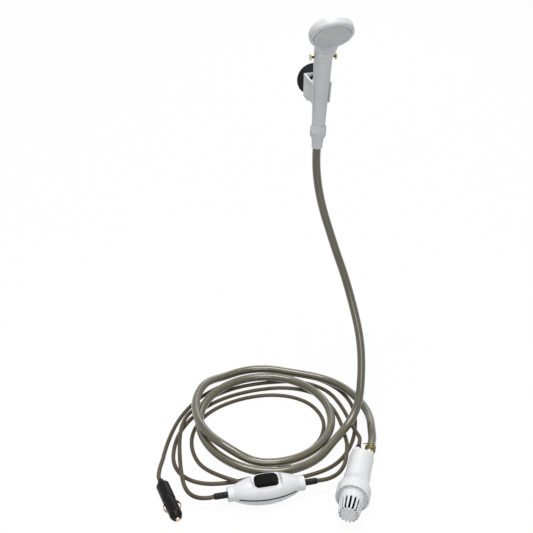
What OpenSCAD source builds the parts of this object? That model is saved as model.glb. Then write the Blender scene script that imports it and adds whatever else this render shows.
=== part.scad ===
// Camp shower set: wall holder, hand shower, hose, submersible 12 V pump, inline switch and plug.
// The origin is the middle of the suction face, +Y points into the wall and +Z is up.

/* [Holder] */
// Diameter of the suction cup
cup_d = 47; // [46:1:60]
// Depth of the suction cup from the wall to its shoulder
cup_depth = 11; // [9:0.5:14]
// Width of the bracket's back plate
bracket_w = 34; // [31:0.5:40]
// Thickness of the bracket's back plate
plate_t = 3; // [2.4:0.2:4]
// Thickness of the bracket's arms
arm_t = 2.6; // [2:0.2:3.4]
// Distance from the wall to the handle's axis
handle_reach = 40; // [38:1:48]
// Height of the cradle along the handle
cradle_h = 30; // [22:1:36]
// Wall of the cradle
cradle_t = 2.8; // [2:0.2:4]
// How far the cradle's wings reach past the handle's axis
wing_reach = 5; // [3:0.5:7]

/* [Hand shower] */
// Lean of the handle towards the viewer in degrees
handle_lean = 2; // [0:0.5:6]
// Sideways tilt of the handle in degrees
handle_roll = 1.5; // [0:0.5:4]
// Length of the handle from its foot to the neck crease
handle_len = 112; // [100:1:125]
// Radius of the handle's foot
handle_foot_r = 9.75; // [9:0.25:10.75]
// Radius of the handle at the neck crease
handle_top_r = 13.3; // [12:0.1:15]
// Height of the cradle's middle above the handle's foot
cradle_at = 50; // [40:1:60]
// Radius of the water way in the handle
water_r = 4.5; // [3:0.25:5]
// Diameter of the shower head
head_d = 62; // [58:1:68]
// Depth of the shower head behind its face
head_t = 24; // [21:0.5:26]
// Diameter of the spray plate
spray_d = 51; // [46:0.5:53]
// Thickness of the spray plate
spray_t = 3; // [2:0.2:4]
// How far the spray plate sits behind the rim
spray_recess = 1.6; // [0.8:0.2:2.4]
// Diameter of the spray holes
jet_d = 1.4; // [1:0.1:1.8]
// Tilt of the spray face below the handle's square direction in degrees
face_tilt = 41; // [35:1:46]
// Forward place of the face's middle from the handle's axis
head_forward = 33; // [31:0.5:36]
// Height of the face's middle above the neck crease
head_rise = 26; // [25:0.5:29]
// Radius of the hanger studs' heads
stud_head_r = 4.8; // [4:0.2:5.6]
// Outer radius of the hose nut
nut_r = 11.8; // [11.2:0.2:13]
// Height of the hose nut
nut_h = 17.5; // [15:0.5:20]
// Length of the hose tail below the nut
tail_len = 17.5; // [14:0.5:24]

/* [Hose and leads] */
// Outer diameter of the hose
hose_d = 12.5; // [11.5:0.1:12.6]
// Bore of the hose where it is pushed over the pump's outlet
hose_bore_d = 8.4; // [8:0.1:9]
// Diameter of the power lead
lead_d = 6; // [5:0.1:6.1]
// Half length of the hose loops from side to side
loop_rx = 101; // [100:0.5:102]
// Half length of the hose loops from front to back
loop_ry = 107; // [106:0.5:108]
// How far each hose loop lies behind the one before
loop_step = 21; // [20.5:0.25:22]
// Height of the hose's middle over the floor where it lies on the leads
hose_lie = 13.6; // [13.2:0.1:15]

/* [Pump] */
// Radius of the rear body
body_r = 17.5; // [17:0.25:19]
// Radius of the front collar
collar_r = 23.5; // [23:0.25:26]
// Wall of the pump's casing
casing_t = 2.2; // [1.8:0.1:2.6]
// Thickness of the rear cap
cap_t = 5; // [4:0.5:7]
// Where the front collar starts from the rear face
collar_at = 78; // [76:0.5:82]
// Length of the front collar
collar_len = 17; // [14:0.5:22]
// Radius of the strainer
strainer_r = 17; // [16.5:0.1:17.4]
// Radius of the strainer at its end
strainer_tip_r = 13.8; // [13:0.1:15]
// How far the strainer stands out of the collar
strainer_out = 33.5; // [31:0.5:40]
// Number of strainer slots
strainer_slots = 16; // [12:1:18]
// Width of the strainer slots
slot_w = 3.1; // [2.4:0.1:3.3]
// Radius of the motor can
motor_r = 13.4; // [12.6:0.1:13.6]
// Radius of the motor shaft
shaft_r = 1.2; // [1:0.1:1.5]
// Radius of the impeller
impeller_r = 13; // [11:0.25:14]
// Length of the outlet's spout behind the rear face
spout_len = 27; // [25:0.5:32]
// Wire radius of the hose clip
clip_wire_r = 0.8; // [0.6:0.05:1]
// Turns of the hose clip
clip_turns = 3; // [2:1:4]

/* [Switch] */
// Length of the switch casing between its collars
switch_l = 90; // [84:1:100]
// Largest radius of the switch casing
switch_r = 21.5; // [20.5:0.25:22.5]
// Radius of the switch casing's ends
switch_end_r = 11; // [10.5:0.1:12]
// Height of the switch casing's axis
switch_axis = 20; // [19.5:0.25:20.5]
// Height of the switch casing's parting line
switch_part = 19.6; // [18.8:0.1:20.4]
// Wall of the switch casing
switch_t = 2.2; // [1.8:0.1:2.6]
// Length of the end collars
end_collar_l = 9; // [7:0.5:12]
// Length of the push button
button_l = 33; // [30:0.5:35]
// Width of the push button
button_w = 19; // [17:0.5:22]
// Height of the push button's top over the floor
button_top = 39.5; // [39:0.25:41]
// Travel of the push button
button_travel = 2.5; // [1.5:0.1:2.8]
// Length of the lead boots
boot_l = 19; // [15:0.5:24]
// Radius of the lead boots
boot_r = 4.5; // [4:0.1:4.8]

/* [Plug] */
// Radius of the plug's grip
grip_r = 9.4; // [9.2:0.1:10]
// Length of the plug's grip
grip_l = 34.5; // [32:0.5:42]
// Radius of the plug's front
front_r = 8.8; // [8.4:0.1:9.2]
// Length of the plug's front
front_l = 24; // [22:0.5:28]
// Length of the plug's nose
nose_l = 11; // [9:0.5:14]
// Radius of the tip contact
tip_r = 3; // [2.4:0.1:3.4]
// How far the tip contact stands out
tip_out = 5.5; // [4.5:0.25:7]
// Travel of the tip contact
tip_travel = 3; // [2:0.1:3.5]
// How far the side contacts stand out of the plug's front
contact_out = 3.5; // [3:0.1:4.5]
// Travel of the side contacts
contact_travel = 2.5; // [1.5:0.1:2.8]

/* [Fits] */
// Clearance round pieces that slide
run_gap = 0.3; // [0.25:0.01:0.4]
// Clearance round necks and shafts that turn
turn_gap = 0.08; // [0.04:0.01:0.1]
// Clearance round pieces that only seat
seat_gap = 0.1; // [0.05:0.01:0.15]

/* [Hidden] */
$fn = 64;
floor_z = -490;
hull_fn = 32;
skin = 0.01;
white = "#eef0f2";
black = "#1d1d1f";
grey_hose = "#6e6b60";
brass = "#c9a45a";
steel = "#b9bcc0";

// Handle frame: local +Z runs up the handle from its foot, local -Y faces the viewer.
cradle_mid = [0, -handle_reach, -6.5];
handle_x = [cos(handle_roll), 0, -sin(handle_roll)];
handle_y = [sin(handle_lean) * sin(handle_roll), cos(handle_lean), sin(handle_lean) * cos(handle_roll)];
handle_z = [cos(handle_lean) * sin(handle_roll), -sin(handle_lean), cos(handle_lean) * cos(handle_roll)];
handle_foot = cradle_mid - cradle_at * handle_z;
function handle_at(v) = handle_foot + v.x * handle_x + v.y * handle_y + v.z * handle_z;
function handle_r(s) = handle_foot_r + (handle_top_r - handle_foot_r) * s / handle_len;
module on_handle() { translate(handle_foot) rotate([handle_lean, handle_roll, 0]) children(); }
// Head frame: local +Z runs from the spray face to the back of the head.
module on_head() {
    on_handle() translate([0, -head_forward, handle_len + head_rise]) rotate([face_tilt - 90, 0, 0])
        children();
}

// Pump frame: local +Z runs from the rear face to the strainer, local +Y is up.
pump_yaw = -28;
pump_place = [0, -284];
shoulder = 4;
pump_pitch = atan((collar_r - body_r) / (collar_at - shoulder));
pump_rear = [pump_place.x, pump_place.y,
    floor_z + seat_gap + body_r * cos(pump_pitch) - shoulder * sin(pump_pitch)];
pump_x = [cos(pump_yaw), sin(pump_yaw), 0];
pump_y = [-sin(pump_yaw) * sin(pump_pitch), cos(pump_yaw) * sin(pump_pitch), cos(pump_pitch)];
pump_z = [sin(pump_yaw) * cos(pump_pitch), -cos(pump_yaw) * cos(pump_pitch), sin(pump_pitch)];
function pump_at(v) = pump_rear + v.x * pump_x + v.y * pump_y + v.z * pump_z;
module on_pump() { translate(pump_rear) rotate([90 - pump_pitch, 0, pump_yaw]) children(); }

// Switch frame: local +X runs along the casing, the floor is local Z zero.
switch_yaw = -2;
switch_place = [-151, -315, floor_z];
function switch_at(v) = switch_place + [v.x * cos(switch_yaw) - v.y * sin(switch_yaw),
    v.x * sin(switch_yaw) + v.y * cos(switch_yaw), v.z];
module on_switch() { translate(switch_place) rotate([0, 0, switch_yaw]) children(); }

// Plug frame: local +Z runs from the back of the grip to the tip, local +Y is up.
plug_yaw = 8.3;
plug_place = [-287.2, -259.5, floor_z + grip_r + seat_gap];
function plug_at(v) = plug_place + [v.x * cos(plug_yaw) + v.z * sin(plug_yaw),
    v.x * sin(plug_yaw) - v.z * cos(plug_yaw), v.y];
module on_plug() { translate(plug_place) rotate([90, 0, plug_yaw]) children(); }

// Swept tubes: a smooth curve through the points, and one ring of corners at each step.
function unit(v) = v / norm(v);
function smooth_at(a, b, c, d, t) = b + 0.5 * t * (c - a + t * (2 * a - 5 * b + 4 * c - d
    + t * (3 * (b - c) + d - a)));
function smooth(p, steps) = let (last = len(p) - 1) concat(
    [for (i = [0 : last - 1]) for (j = [0 : steps - 1])
        smooth_at(p[max(i - 1, 0)], p[i], p[i + 1], p[min(i + 2, last)], j / steps)], [p[last]]);
function ring(mid, along, r, sides, side_dir) = let (t = unit(along),
    u = unit(side_dir - (side_dir * t) * t), v = cross(t, u))
    [for (k = [0 : sides - 1]) mid + r * (cos(360 * k / sides) * u + sin(360 * k / sides) * v)];
// The end rings stand square to end_dirs, so that a tube meets its fitting face to face.
module tube(p, r, sides, side_dir, end_dirs) {
    n = len(p) - 1;
    rings = [for (i = [0 : n]) each ring(p[i],
        i == 0 ? end_dirs[0] : i == n ? end_dirs[1] : p[i + 1] - p[i - 1], r, sides, side_dir)];
    caps = [p[0], p[n]];
    first = len(rings);
    walls = [for (i = [0 : n - 1]) for (k = [0 : sides - 1]) let (a = i * sides + k,
        b = i * sides + (k + 1) % sides) each [[a, a + sides, b], [b, a + sides, b + sides]]];
    ends = [for (k = [0 : sides - 1]) each [[first, k, (k + 1) % sides],
        [first + 1, n * sides + (k + 1) % sides, n * sides + k]]];
    polyhedron(concat(rings, caps), concat(walls, ends));
}
function helix(r, turns, pitch, per_turn) = [for (i = [0 : turns * per_turn])
    [r * cos(360 * i / per_turn), r * sin(360 * i / per_turn), pitch * i / per_turn]];
// Least gap of a tube to itself, measured on points that lie further apart along it than apart_len.
function self_gap(p, d, apart_len, spacing) = min([for (i = [0 : len(p) - 1])
    for (j = [i + 1 : len(p) - 1]) if ((j - i) * spacing > apart_len) norm(p[i] - p[j])]) - d;
function on_floor(p) = [for (q = p) [q.x, q.y, floor_z + q.z]];
function clamp01(t) = min(1, max(0, t));
function ease(t) = clamp01(t) * clamp01(t) * (3 - 2 * clamp01(t));

// Hose loops: an ellipse walked clockwise from coil_from, each turn loop_step further back.
hose_sides = 10;
lead_sides = 8;
coil_mid = [-113, -176];
coil_from = -50;
coil_sweep = 610;
coil_rings = 24;
crossing_at = 490;
crossing_half = 38;
crossing_ramp = 36;
crossing_rise = hose_d + 1.3;
left_rise = 2.6;
function left_swell(w) = left_rise * (1 - ease(abs((w % 360) - 125) / 75));
function coil_at(w) = let (a = coil_from - w) [
    coil_mid.x + (loop_rx + 1.5 * w / 360) * cos(a),
    coil_mid.y + loop_step * w / 360 + (loop_ry + 1.5 * w / 360) * sin(a),
    floor_z + hose_lie + left_swell(w)
        + crossing_rise * (1 - ease((abs(w - crossing_at) - crossing_half) / crossing_ramp))];
coil_path = [for (i = [0 : round(coil_sweep * coil_rings / 360)]) coil_at(i * 360 / coil_rings
    * coil_sweep / (round(coil_sweep * coil_rings / 360) * 360 / coil_rings))];
coil_last = len(coil_path) - 1;
coil_start_dir = coil_at(1) - coil_at(-1);
coil_end_dir = coil_at(coil_sweep + 1) - coil_at(coil_sweep - 1);

// Hose from the loops up to the hand shower.
tail_end = handle_at([0, 0, -nut_h - tail_len]);
hose_rise = concat([coil_at(0)], on_floor([
    [-31, -241, 13.6], [-13, -225, 14.5], [3, -212, 18], [16, -201, 26], [27, -189, 38],
    [35, -174, 55], [41, -158, 75], [45, -142, 98], [46, -126, 122], [44, -109, 147],
    [40, -92.5, 174], [34, -77.5, 203], [25, -64.5, 235], [16, -54.5, 268], [7, -46.5, 302],
    [1, -41.5, 333], [-2, -38, 361]]),
    [tail_end - 14 * handle_z, tail_end]);
// Hose from the loops to the pump's outlet.
spout_place = [9.5, 4];
spout_end = pump_at([spout_place.x, spout_place.y, -spout_len]);
hose_run = concat([coil_at(coil_sweep)], on_floor([
    [-42, -57, 13.6], [-17, -71.5, 13.6], [7, -89, 13.6], [25.5, -112, 13.6], [38, -140, 13.6],
    [44, -170, 13.6], [43, -198, 15], [36, -224, 18.5]]),
    [spout_end - 14 * pump_z, spout_end]);
// Pump lead: from the gland back along the right, round the far side and forward to the switch.
gland_place = [-7.5, 6];
gland_tip = -16;
gland_end = pump_at([gland_place.x, gland_place.y, gland_tip]);
boot_reach = switch_l / 2 + end_collar_l + boot_l;
boot_right_end = switch_at([boot_reach, 0, switch_axis]);
boot_left_end = switch_at([-boot_reach, 0, switch_axis]);
pump_lead_path = concat([gland_end, gland_end - 9 * pump_z], on_floor([
    [10, -246, 18.8], [11.5, -232, 15.2], [12, -216, 11.6], [13, -199, 8.2], [14.5, -180, 4.8],
    [15, -160, 3.2], [13, -138, 3.2], [8, -116, 3.2], [-3, -96, 3.2], [-20, -80, 3.2],
    [-42, -69, 3.2], [-68, -63, 3.2], [-98, -60, 3.2], [-128, -61, 3.2], [-156, -67, 3.2],
    [-182, -78, 3.2], [-206, -95, 4], [-226, -117, 7.6], [-239, -143, 9.8], [-247, -171, 9.8],
    [-252, -199, 9.4], [-255.5, -226, 9.4], [-257.5, -250, 10], [-258, -270, 11.6],
    [-256, -287, 14.2], [-250.5, -300.5, 16.8], [-242, -309, 18.8]]),
    [boot_left_end + [-8, 0.1, -0.3], boot_left_end]);
// Plug lead: from the switch's right boot, twice round with the hose, to the plug.
plug_boot_l = 8;
plug_lead_path = concat([boot_right_end, boot_right_end + [10, -0.3, -0.4]], on_floor([
    [-56, -315, 18.6], [-43.5, -307.5, 17], [-32, -295, 15.2], [-22.5, -279, 13.4],
    [-15, -261, 11.8], [-8.5, -243, 9.3], [-3.5, -219, 4.8], [0, -194, 3.2], [1, -168, 3.2],
    [-2, -142, 3.2], [-11, -118, 3.2], [-26, -100, 3.2], [-46, -87, 3.2], [-70, -79, 3.2],
    [-98, -76, 3.2], [-126, -77, 3.2], [-154, -82, 3.2], [-181, -92, 3.2], [-206, -108, 3.2],
    [-229, -130, 3.2], [-247, -156, 3.2], [-258, -184, 3.2], [-263, -211, 3.2], [-259, -236, 3.2],
    [-245, -256, 3.2], [-224, -268, 3.2], [-198, -273, 3.2], [-170, -273, 3.2], [-142, -269, 3.2],
    [-114, -261, 3.2], [-88, -250, 3.2], [-64, -236, 3.2], [-44, -219, 3.2], [-30, -197, 3.2],
    [-24, -174, 3.2], [-26, -150, 3.2], [-35, -128, 3.2], [-52, -110, 3.2], [-74, -98, 3.2],
    [-100, -92, 3.2], [-128, -92, 3.2], [-155, -97, 3.2], [-180, -107, 3.2], [-202, -123, 3.2],
    [-219, -145, 3.2], [-229, -170, 3.2], [-232, -196, 3.2], [-229, -221, 4.2], [-221, -243, 7.6],
    [-207, -262, 10.2], [-189, -277, 10], [-167, -286, 6], [-142, -289, 3.5], [-112, -289, 3.2],
    [-78, -287, 3.2], [-50, -281, 3.2], [-28, -269, 3.2], [-10, -252, 3.2], [5, -231, 3.2],
    [17, -207, 3.2], [26, -182, 3.2], [31, -156, 3.2], [30, -131, 3.2], [23, -107, 3.2],
    [10, -85, 3.2], [-8, -67, 3.2], [-30, -54, 3.2], [-55, -46, 3.2], [-83, -42, 3.2],
    [-112, -42, 3.2], [-141, -46, 3.2], [-169, -56, 3.2], [-195, -71, 3.2], [-218, -92, 3.2],
    [-239, -118, 3.2], [-256, -148, 3.2], [-269, -178, 3.6], [-278, -204, 5], [-285, -224, 7.8]]),
    [plug_at([0, 0, -plug_boot_l - 9]), plug_at([0, 0, -plug_boot_l])]);
lead_steps = 2;
fine_steps = 8;
lead_fine = smooth(plug_lead_path, fine_steps);
pump_lead_fine = smooth(pump_lead_path, fine_steps);
coil_fine = [for (w = [0 : 3 : coil_sweep]) coil_at(w)];
echo(hose_coil_self_gap = self_gap(coil_fine, hose_d, 3 * hose_d, norm(coil_fine[1] - coil_fine[0])));
echo(plug_lead_self_gap = self_gap(lead_fine, lead_d, 8 * lead_d, norm(lead_fine[40] - lead_fine[39])));
echo(pump_lead_self_gap = self_gap(pump_lead_fine, lead_d, 8 * lead_d,
    norm(pump_lead_fine[40] - pump_lead_fine[39])));

// Shared places of the holder and its cup.
cup_r = cup_d / 2;
cup_neck_r = 9;
cup_button_r = 11.6;
cup_button_t = 4;
cup_lip_t = 0.9;
plate_back = cup_depth + run_gap;
plate_front = plate_back + plate_t;
plate_top = 13;
plate_bottom = -20;

// Shared places of the hand shower.
head_r = head_d / 2;
spray_r = spray_d / 2;
rim_round = 4;
spray_seal_t = 0.4;
spray_seat = spray_recess + spray_t + spray_seal_t;
spray_ledge = 2.5;
stud_at = handle_len - 11;
stud_shank_r = 1.6;
stud_sunk = 4;
stud_stand = 4.6;
spigot_r = 8.1;
spigot_len = 8;
washer_t = 2;
flange_t = 2.6;
flange_r = spigot_r;
tail_stem_r = 6.8;
tail_top_r = 9.3;
tail_foot_r = 7.6;
tail_bore_r = 3.8;
nut_ribs = 34;
// Rings of spray holes: radius of the ring and number of holes.
jet_rings = [[7, 8], [12.5, 14], [18, 20]];

// Shared places of the pump.
casing_bore = body_r - casing_t;
collar_end = collar_at + collar_len;
strainer_bore = strainer_r + run_gap;
slot_from = 12;
cover_seat = collar_at - 3;
spigot_ring_t = 3;
cap_spigot = 6;
cap_groove_w = 2.2;
seal_ring_r = 0.8;
spout_r = hose_bore_d / 2 - seat_gap;
spout_bore_r = 2.8;
spout_collar_r = 7;
spout_collar_t = 2;
ferrule_t = 0.9;
ferrule_w = 5;
gland_bore_r = 3.2;
gland_boss_r = 7.4;
gland_boss_t = 5;
wire_r = 0.8;
wire_rows = [-1.5, 1.5];
can_back = cap_t + cap_spigot + 2;
can_len = 44;
can_front = can_back + can_len;
can_t = 1;
magnet_t = 1.8;
rotor_r = motor_r - can_t - magnet_t - 0.7;
bush_r = 3.4;
bush_t = 3;
seal_r = 5;
seal_t = 3;
impeller_at = can_front + seal_t + 3;
impeller_t = cover_seat - 2 - impeller_at;
shaft_end = impeller_at + impeller_t - 1;

// Shared places of the switch.
switch_half = switch_l / 2;
switch_bow = (switch_half * switch_half + (switch_r - switch_end_r) * (switch_r - switch_end_r))
    / (2 * (switch_r - switch_end_r));
switch_seal_t = 1.6;
switch_ceiling = 31;
scoop_floor = 34.2;
scoop_r = 60;
button_tab = 1.2;
button_tab_w = 9;
button_round = 6;
crown_r = 70;
seal_half = switch_half - 5;
seal_inset = 0.3;
button_tab_t = 2.4;
button_low = switch_ceiling - run_gap - button_tab_t;
core_low = 6;
core_top = 22;
screw_at = 33;
screw_r = 1.3;
screw_head_r = 2.6;
boss_r = 3.4;
boot_in = 6;

// Shared places of the plug.
nose_bore_r = 5;
lead_way_r = 2;
spring_room_r = 3.9;
slot_floor = 4;
front_end = grip_l + front_l;
nose_end = front_end + nose_l;
tip_flange_r = 4.4;
tip_flange_t = 2;
nose_wall = 3;
tip_flange_at = nose_end - nose_wall - run_gap - tip_flange_t;
fuse_r = 3.1;
fuse_l = 30;
tip_spring_l = 9;
fuse_at = tip_flange_at - tip_spring_l - fuse_l;
contact_at = grip_l + front_l / 2;
contact_half = 9;
contact_w = 3.8;
contact_t = 1;
contact_base = front_r - 1.5;
contact_sag = front_r + contact_out - contact_base;
contact_r = (contact_half * contact_half + contact_sag * contact_sag) / (2 * contact_sag);

// Ring of rectangular section, drawn from z0 to z1.
module band(r_out, r_in, z0, z1) {
    translate([0, 0, z0]) difference() {
        cylinder(h = z1 - z0, r = r_out);
        translate([0, 0, -1]) cylinder(h = z1 - z0 + 2, r = r_in);
    }
}

// Rod from z0 to z1.
module rod(r, z0, z1) { translate([0, 0, z0]) cylinder(h = z1 - z0, r = r); }

// Rectangle with round corners.
module round_rect(l, w, r) {
    square([l - 2 * r, w], center = true);
    square([l, w - 2 * r], center = true);
    for (x = [-1, 1], y = [-1, 1]) translate([x * (l / 2 - r), y * (w / 2 - r)]) circle(r);
}

module suction_cup() {
    stud_back = plate_front + run_gap;
    stud_front = stud_back + cup_button_t;
    color(black) rotate([90, 0, 0]) rotate_extrude() polygon([[0, 0], [cup_r, 0], [cup_r, cup_lip_t],
        [cup_r - 6, 0.45 * cup_depth], [cup_r - 13, cup_depth - 1.5], [cup_neck_r + 1.5, cup_depth],
        [cup_neck_r, cup_depth], [cup_neck_r, stud_back], [cup_button_r, stud_back],
        [cup_button_r, stud_front - 1.2], [cup_button_r - 1.2, stud_front], [0, stud_front]]);
}

// Handle's tapered room in the cradle, open towards the viewer.
module handle_room() {
    low = cradle_at - cradle_h;
    high = cradle_at + cradle_h;
    r_low = handle_r(low) + run_gap;
    r_high = handle_r(high) + run_gap;
    translate([0, 0, low]) cylinder(h = high - low, r1 = r_low, r2 = r_high);
    rotate([90, 0, 0]) linear_extrude(handle_reach)
        polygon([[-r_low, low], [r_low, low], [r_high, high], [-r_high, high]]);
}

// One arm's outline seen from above, from the back plate to the cradle.
module arm_plan() {
    front_x = handle_r(cradle_at) + cradle_t;
    polygon([[bracket_w / 2 - arm_t, -plate_back], [bracket_w / 2, -plate_back],
        [front_x, -handle_reach], [front_x - arm_t, -handle_reach]]);
}

module holder_bracket() {
    low = cradle_at - cradle_h / 2;
    high = cradle_at + cradle_h / 2;
    color(white) difference() {
        union() {
            translate([-bracket_w / 2, -plate_front, plate_bottom])
                cube([bracket_w, plate_t, plate_top - plate_bottom]);
            intersection() {
                translate([0, 0, plate_bottom - 10]) linear_extrude(plate_top - plate_bottom + 20) {
                    arm_plan();
                    mirror([1, 0]) arm_plan();
                }
                rotate([90, 0, 90]) linear_extrude(2 * bracket_w, center = true)
                    polygon([[-plate_back, plate_top], [-plate_back, plate_bottom],
                    [-0.6 * handle_reach, plate_bottom - 3], [-handle_reach, plate_bottom - 1],
                    [-handle_reach, plate_top - 6]]);
            }
            on_handle() translate([0, 0, low]) cylinder(h = cradle_h,
                r1 = handle_r(low) + run_gap + cradle_t, r2 = handle_r(high) + run_gap + cradle_t);
        }
        on_handle() handle_room();
        on_handle() translate([-bracket_w, -wing_reach - bracket_w, 0])
            cube([2 * bracket_w, bracket_w, handle_len]);
        rotate([90, 0, 0]) rod(cup_neck_r + turn_gap, plate_back - 1, plate_front + 1);
    }
}

module handset_shell() {
    color(white) difference() {
        union() {
            on_handle() cylinder(h = handle_len, r1 = handle_foot_r, r2 = handle_top_r);
            on_handle() rod(spigot_r, -spigot_len, 1);
            hull() {
                on_handle() translate([0, 0, handle_len - 3])
                    cylinder(h = 4, r = handle_top_r - 0.6, $fn = hull_fn);
                on_head() translate([0, 0, 7]) cylinder(h = 9, r = head_r - 12, $fn = hull_fn);
            }
            on_head() rotate_extrude() polygon(concat([[0, 0]],
                [for (a = [-90 : 15 : 0])
                    [head_r - rim_round + rim_round * cos(a), rim_round + rim_round * sin(a)]],
                [for (a = [0 : 10 : 80]) [head_r * cos(a), 9 + (head_t - 9) * sin(a)]], [[0, head_t]]));
        }
        on_handle() rod(water_r, -spigot_len - 1, handle_len + 12);
        on_head() rod(spray_r + seat_gap, -1, spray_seat);
        on_head() rod(spray_r - spray_ledge, spray_seat - 1, spray_seat + 4);
        on_head() translate([0, 0, spray_seat + 4 - skin])
            cylinder(h = head_t - spray_seat - 8, r1 = spray_r - spray_ledge, r2 = spray_r - 16);
        on_handle() for (side = [-1, 1]) translate([0, 0, stud_at]) rotate([0, 90 * side, 0])
            rod(stud_shank_r + seat_gap / 2, handle_r(stud_at) - stud_sunk, handle_r(stud_at) + 2);
    }
}

module spray_plate() {
    color(white) on_head() difference() {
        rod(spray_r, spray_recess, spray_recess + spray_t);
        for (jets = jet_rings, i = [0 : jets[1] - 1]) rotate(360 * i / jets[1]) translate([jets[0], 0, 0])
            cylinder(h = 12, r = jet_d / 2, $fn = 16);
    }
}

module plate_seal() {
    color(black) on_head() band(spray_r, spray_r - spray_ledge + 0.2, spray_seat - spray_seal_t, spray_seat);
}

module hanger_studs() {
    shank = stud_sunk + stud_stand;
    color(brass) on_handle() for (side = [-1, 1]) translate([0, 0, stud_at]) rotate([0, 90 * side, 0])
        translate([0, 0, handle_r(stud_at) - stud_sunk + seat_gap]) rotate_extrude()
        polygon([[0, 0], [stud_shank_r, 0], [stud_shank_r, shank], [stud_head_r, shank],
        [stud_head_r, shank + 0.8], [0.75 * stud_head_r, shank + 2], [0, shank + 2.6]]);
}

module hose_nut() {
    lip_top = -spigot_len - washer_t - flange_t - run_gap;
    color(white) on_handle() difference() {
        union() {
            rod(nut_r - 0.6, -nut_h, -run_gap);
            for (i = [0 : nut_ribs - 1]) rotate(360 * i / nut_ribs)
                translate([nut_r - 1.2, -0.5, -nut_h + 1.5]) cube([1.2, 1, nut_h - 3]);
        }
        rod(spigot_r + run_gap, lip_top, 1);
        rod(tail_stem_r + turn_gap, -nut_h - 1, lip_top + 1);
    }
}

module hose_tail() {
    flange_top = -spigot_len - washer_t;
    skirt_top = -nut_h - run_gap;
    color(white) on_handle() difference() {
        rotate_extrude() polygon([[0, flange_top], [flange_r, flange_top], [flange_r, flange_top - flange_t],
            [tail_stem_r, flange_top - flange_t], [tail_stem_r, skirt_top], [tail_top_r, skirt_top],
            [tail_foot_r, -nut_h - tail_len], [0, -nut_h - tail_len]]);
        rod(tail_bore_r, -nut_h - tail_len - 1, 0);
    }
}

module tail_washer() {
    color(black) on_handle() band(spigot_r - 0.3, water_r, -spigot_len - washer_t, -spigot_len);
}

module hose_riser() {
    color(grey_hose) tube(smooth(hose_rise, 2), hose_d / 2, hose_sides, [0.68, -0.73, 0],
        [-coil_start_dir, handle_z]);
}

module hose_coil() {
    color(grey_hose) tube(coil_path, hose_d / 2, hose_sides, [0, 0, 1], [coil_start_dir, coil_end_dir]);
}

module hose_pump_run() {
    color(grey_hose) tube(smooth(hose_run, 2), hose_d / 2, hose_sides, [0, 0, 1], [coil_end_dir, pump_z]);
}

module hose_cuff() {
    color(grey_hose) on_pump() translate(spout_place)
        band(hose_d / 2, hose_bore_d / 2, -spout_len, -spout_collar_t);
}

module hose_ferrule() {
    color(brass) on_pump() translate(spout_place) band(hose_d / 2 + ferrule_t, hose_d / 2 + seat_gap,
        -spout_collar_t - ferrule_w, -spout_collar_t);
}

// Wire clip: turns round the hose, then a tang that stands off to the side.
module hose_clip() {
    clip_r = hose_d / 2 + clip_wire_r + seat_gap + 0.1;
    pitch = 2 * clip_wire_r + 2.6;
    top = clip_turns * pitch;
    turns = [for (q = helix(clip_r, clip_turns, pitch, 24)) [q.x, q.y, top - q.z]];
    path = concat([[clip_r + 0.5, -9, top], [clip_r, -4.5, top]], turns,
        [[clip_r, 4.5, 0], [clip_r + 0.5, 9, 0]]);
    echo(hose_clip_self_gap = self_gap(turns, 2 * clip_wire_r, 4 * clip_wire_r, 2 * clip_r * sin(7.5)));
    color(brass) on_pump() translate([spout_place.x, spout_place.y, -spout_collar_t - ferrule_w - 1.6 - top])
        rotate(115) tube(path, clip_wire_r, 6, [0, 0, 1], [[0, 1, 0], [0, 1, 0]]);
}

module pump_casing() {
    ring_out = collar_r - 2.1;
    ring_in = strainer_bore + 1.2;
    color(white) on_pump() difference() {
        union() {
            difference() {
                rotate_extrude() polygon([[0, cap_t], [body_r, cap_t], [body_r, 48], [body_r + 0.8, 49],
                    [body_r + 0.8, 61], [collar_r, collar_at], [collar_r, collar_end - 1],
                    [collar_r - 1, collar_end], [0, collar_end]]);
                rod(casing_bore, cap_t - 1, cover_seat + 1);
                rod(strainer_bore, cover_seat, collar_end + 1);
            }
            for (i = [0 : 2]) rotate(90 + 120 * i) translate([motor_r + seat_gap, -1, can_back])
                cube([casing_bore - motor_r, 2, can_len - 2]);
        }
        band(ring_out, ring_in, collar_end - 4, collar_end + 1);
    }
}

module pump_end_cap() {
    color(white) on_pump() difference() {
        union() {
            rotate_extrude() polygon([[0, 0], [body_r - shoulder + 0.5, 0], [body_r - 1, 1.6],
                [body_r, shoulder], [body_r, cap_t], [casing_bore - seat_gap, cap_t],
                [casing_bore - seat_gap, cap_t + cap_spigot], [0, cap_t + cap_spigot]]);
            translate(gland_place) rod(gland_boss_r, -gland_boss_t, 2);
            translate(spout_place) rod(spout_collar_r, -spout_collar_t, 2);
            translate(spout_place) rod(spout_r, -spout_len, 2);
        }
        rod(casing_bore - seat_gap - spigot_ring_t, cap_t, cap_t + cap_spigot + 1);
        band(casing_bore + 1, casing_bore - 1.7, cap_t + 2, cap_t + 2 + cap_groove_w);
        translate(spout_place) rod(spout_bore_r, -spout_len - 1, cap_t + 1);
        translate(gland_place) rod(gland_bore_r, -gland_boss_t - 1, cap_t + 1);
    }
}

module cap_seal() {
    color(black) on_pump() translate([0, 0, cap_t + 2 + cap_groove_w / 2]) rotate_extrude()
        translate([casing_bore - 0.05 - seal_ring_r, 0]) circle(seal_ring_r);
}

module cable_gland() {
    color(black) on_pump() translate(gland_place) rotate_extrude() polygon([[0, gland_tip],
        [lead_d / 2 + 0.6, gland_tip], [4.7, -gland_boss_t - 3], [4.7, -gland_boss_t],
        [gland_bore_r - seat_gap, -gland_boss_t], [gland_bore_r - seat_gap, cap_t], [0, cap_t]]);
}

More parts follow.
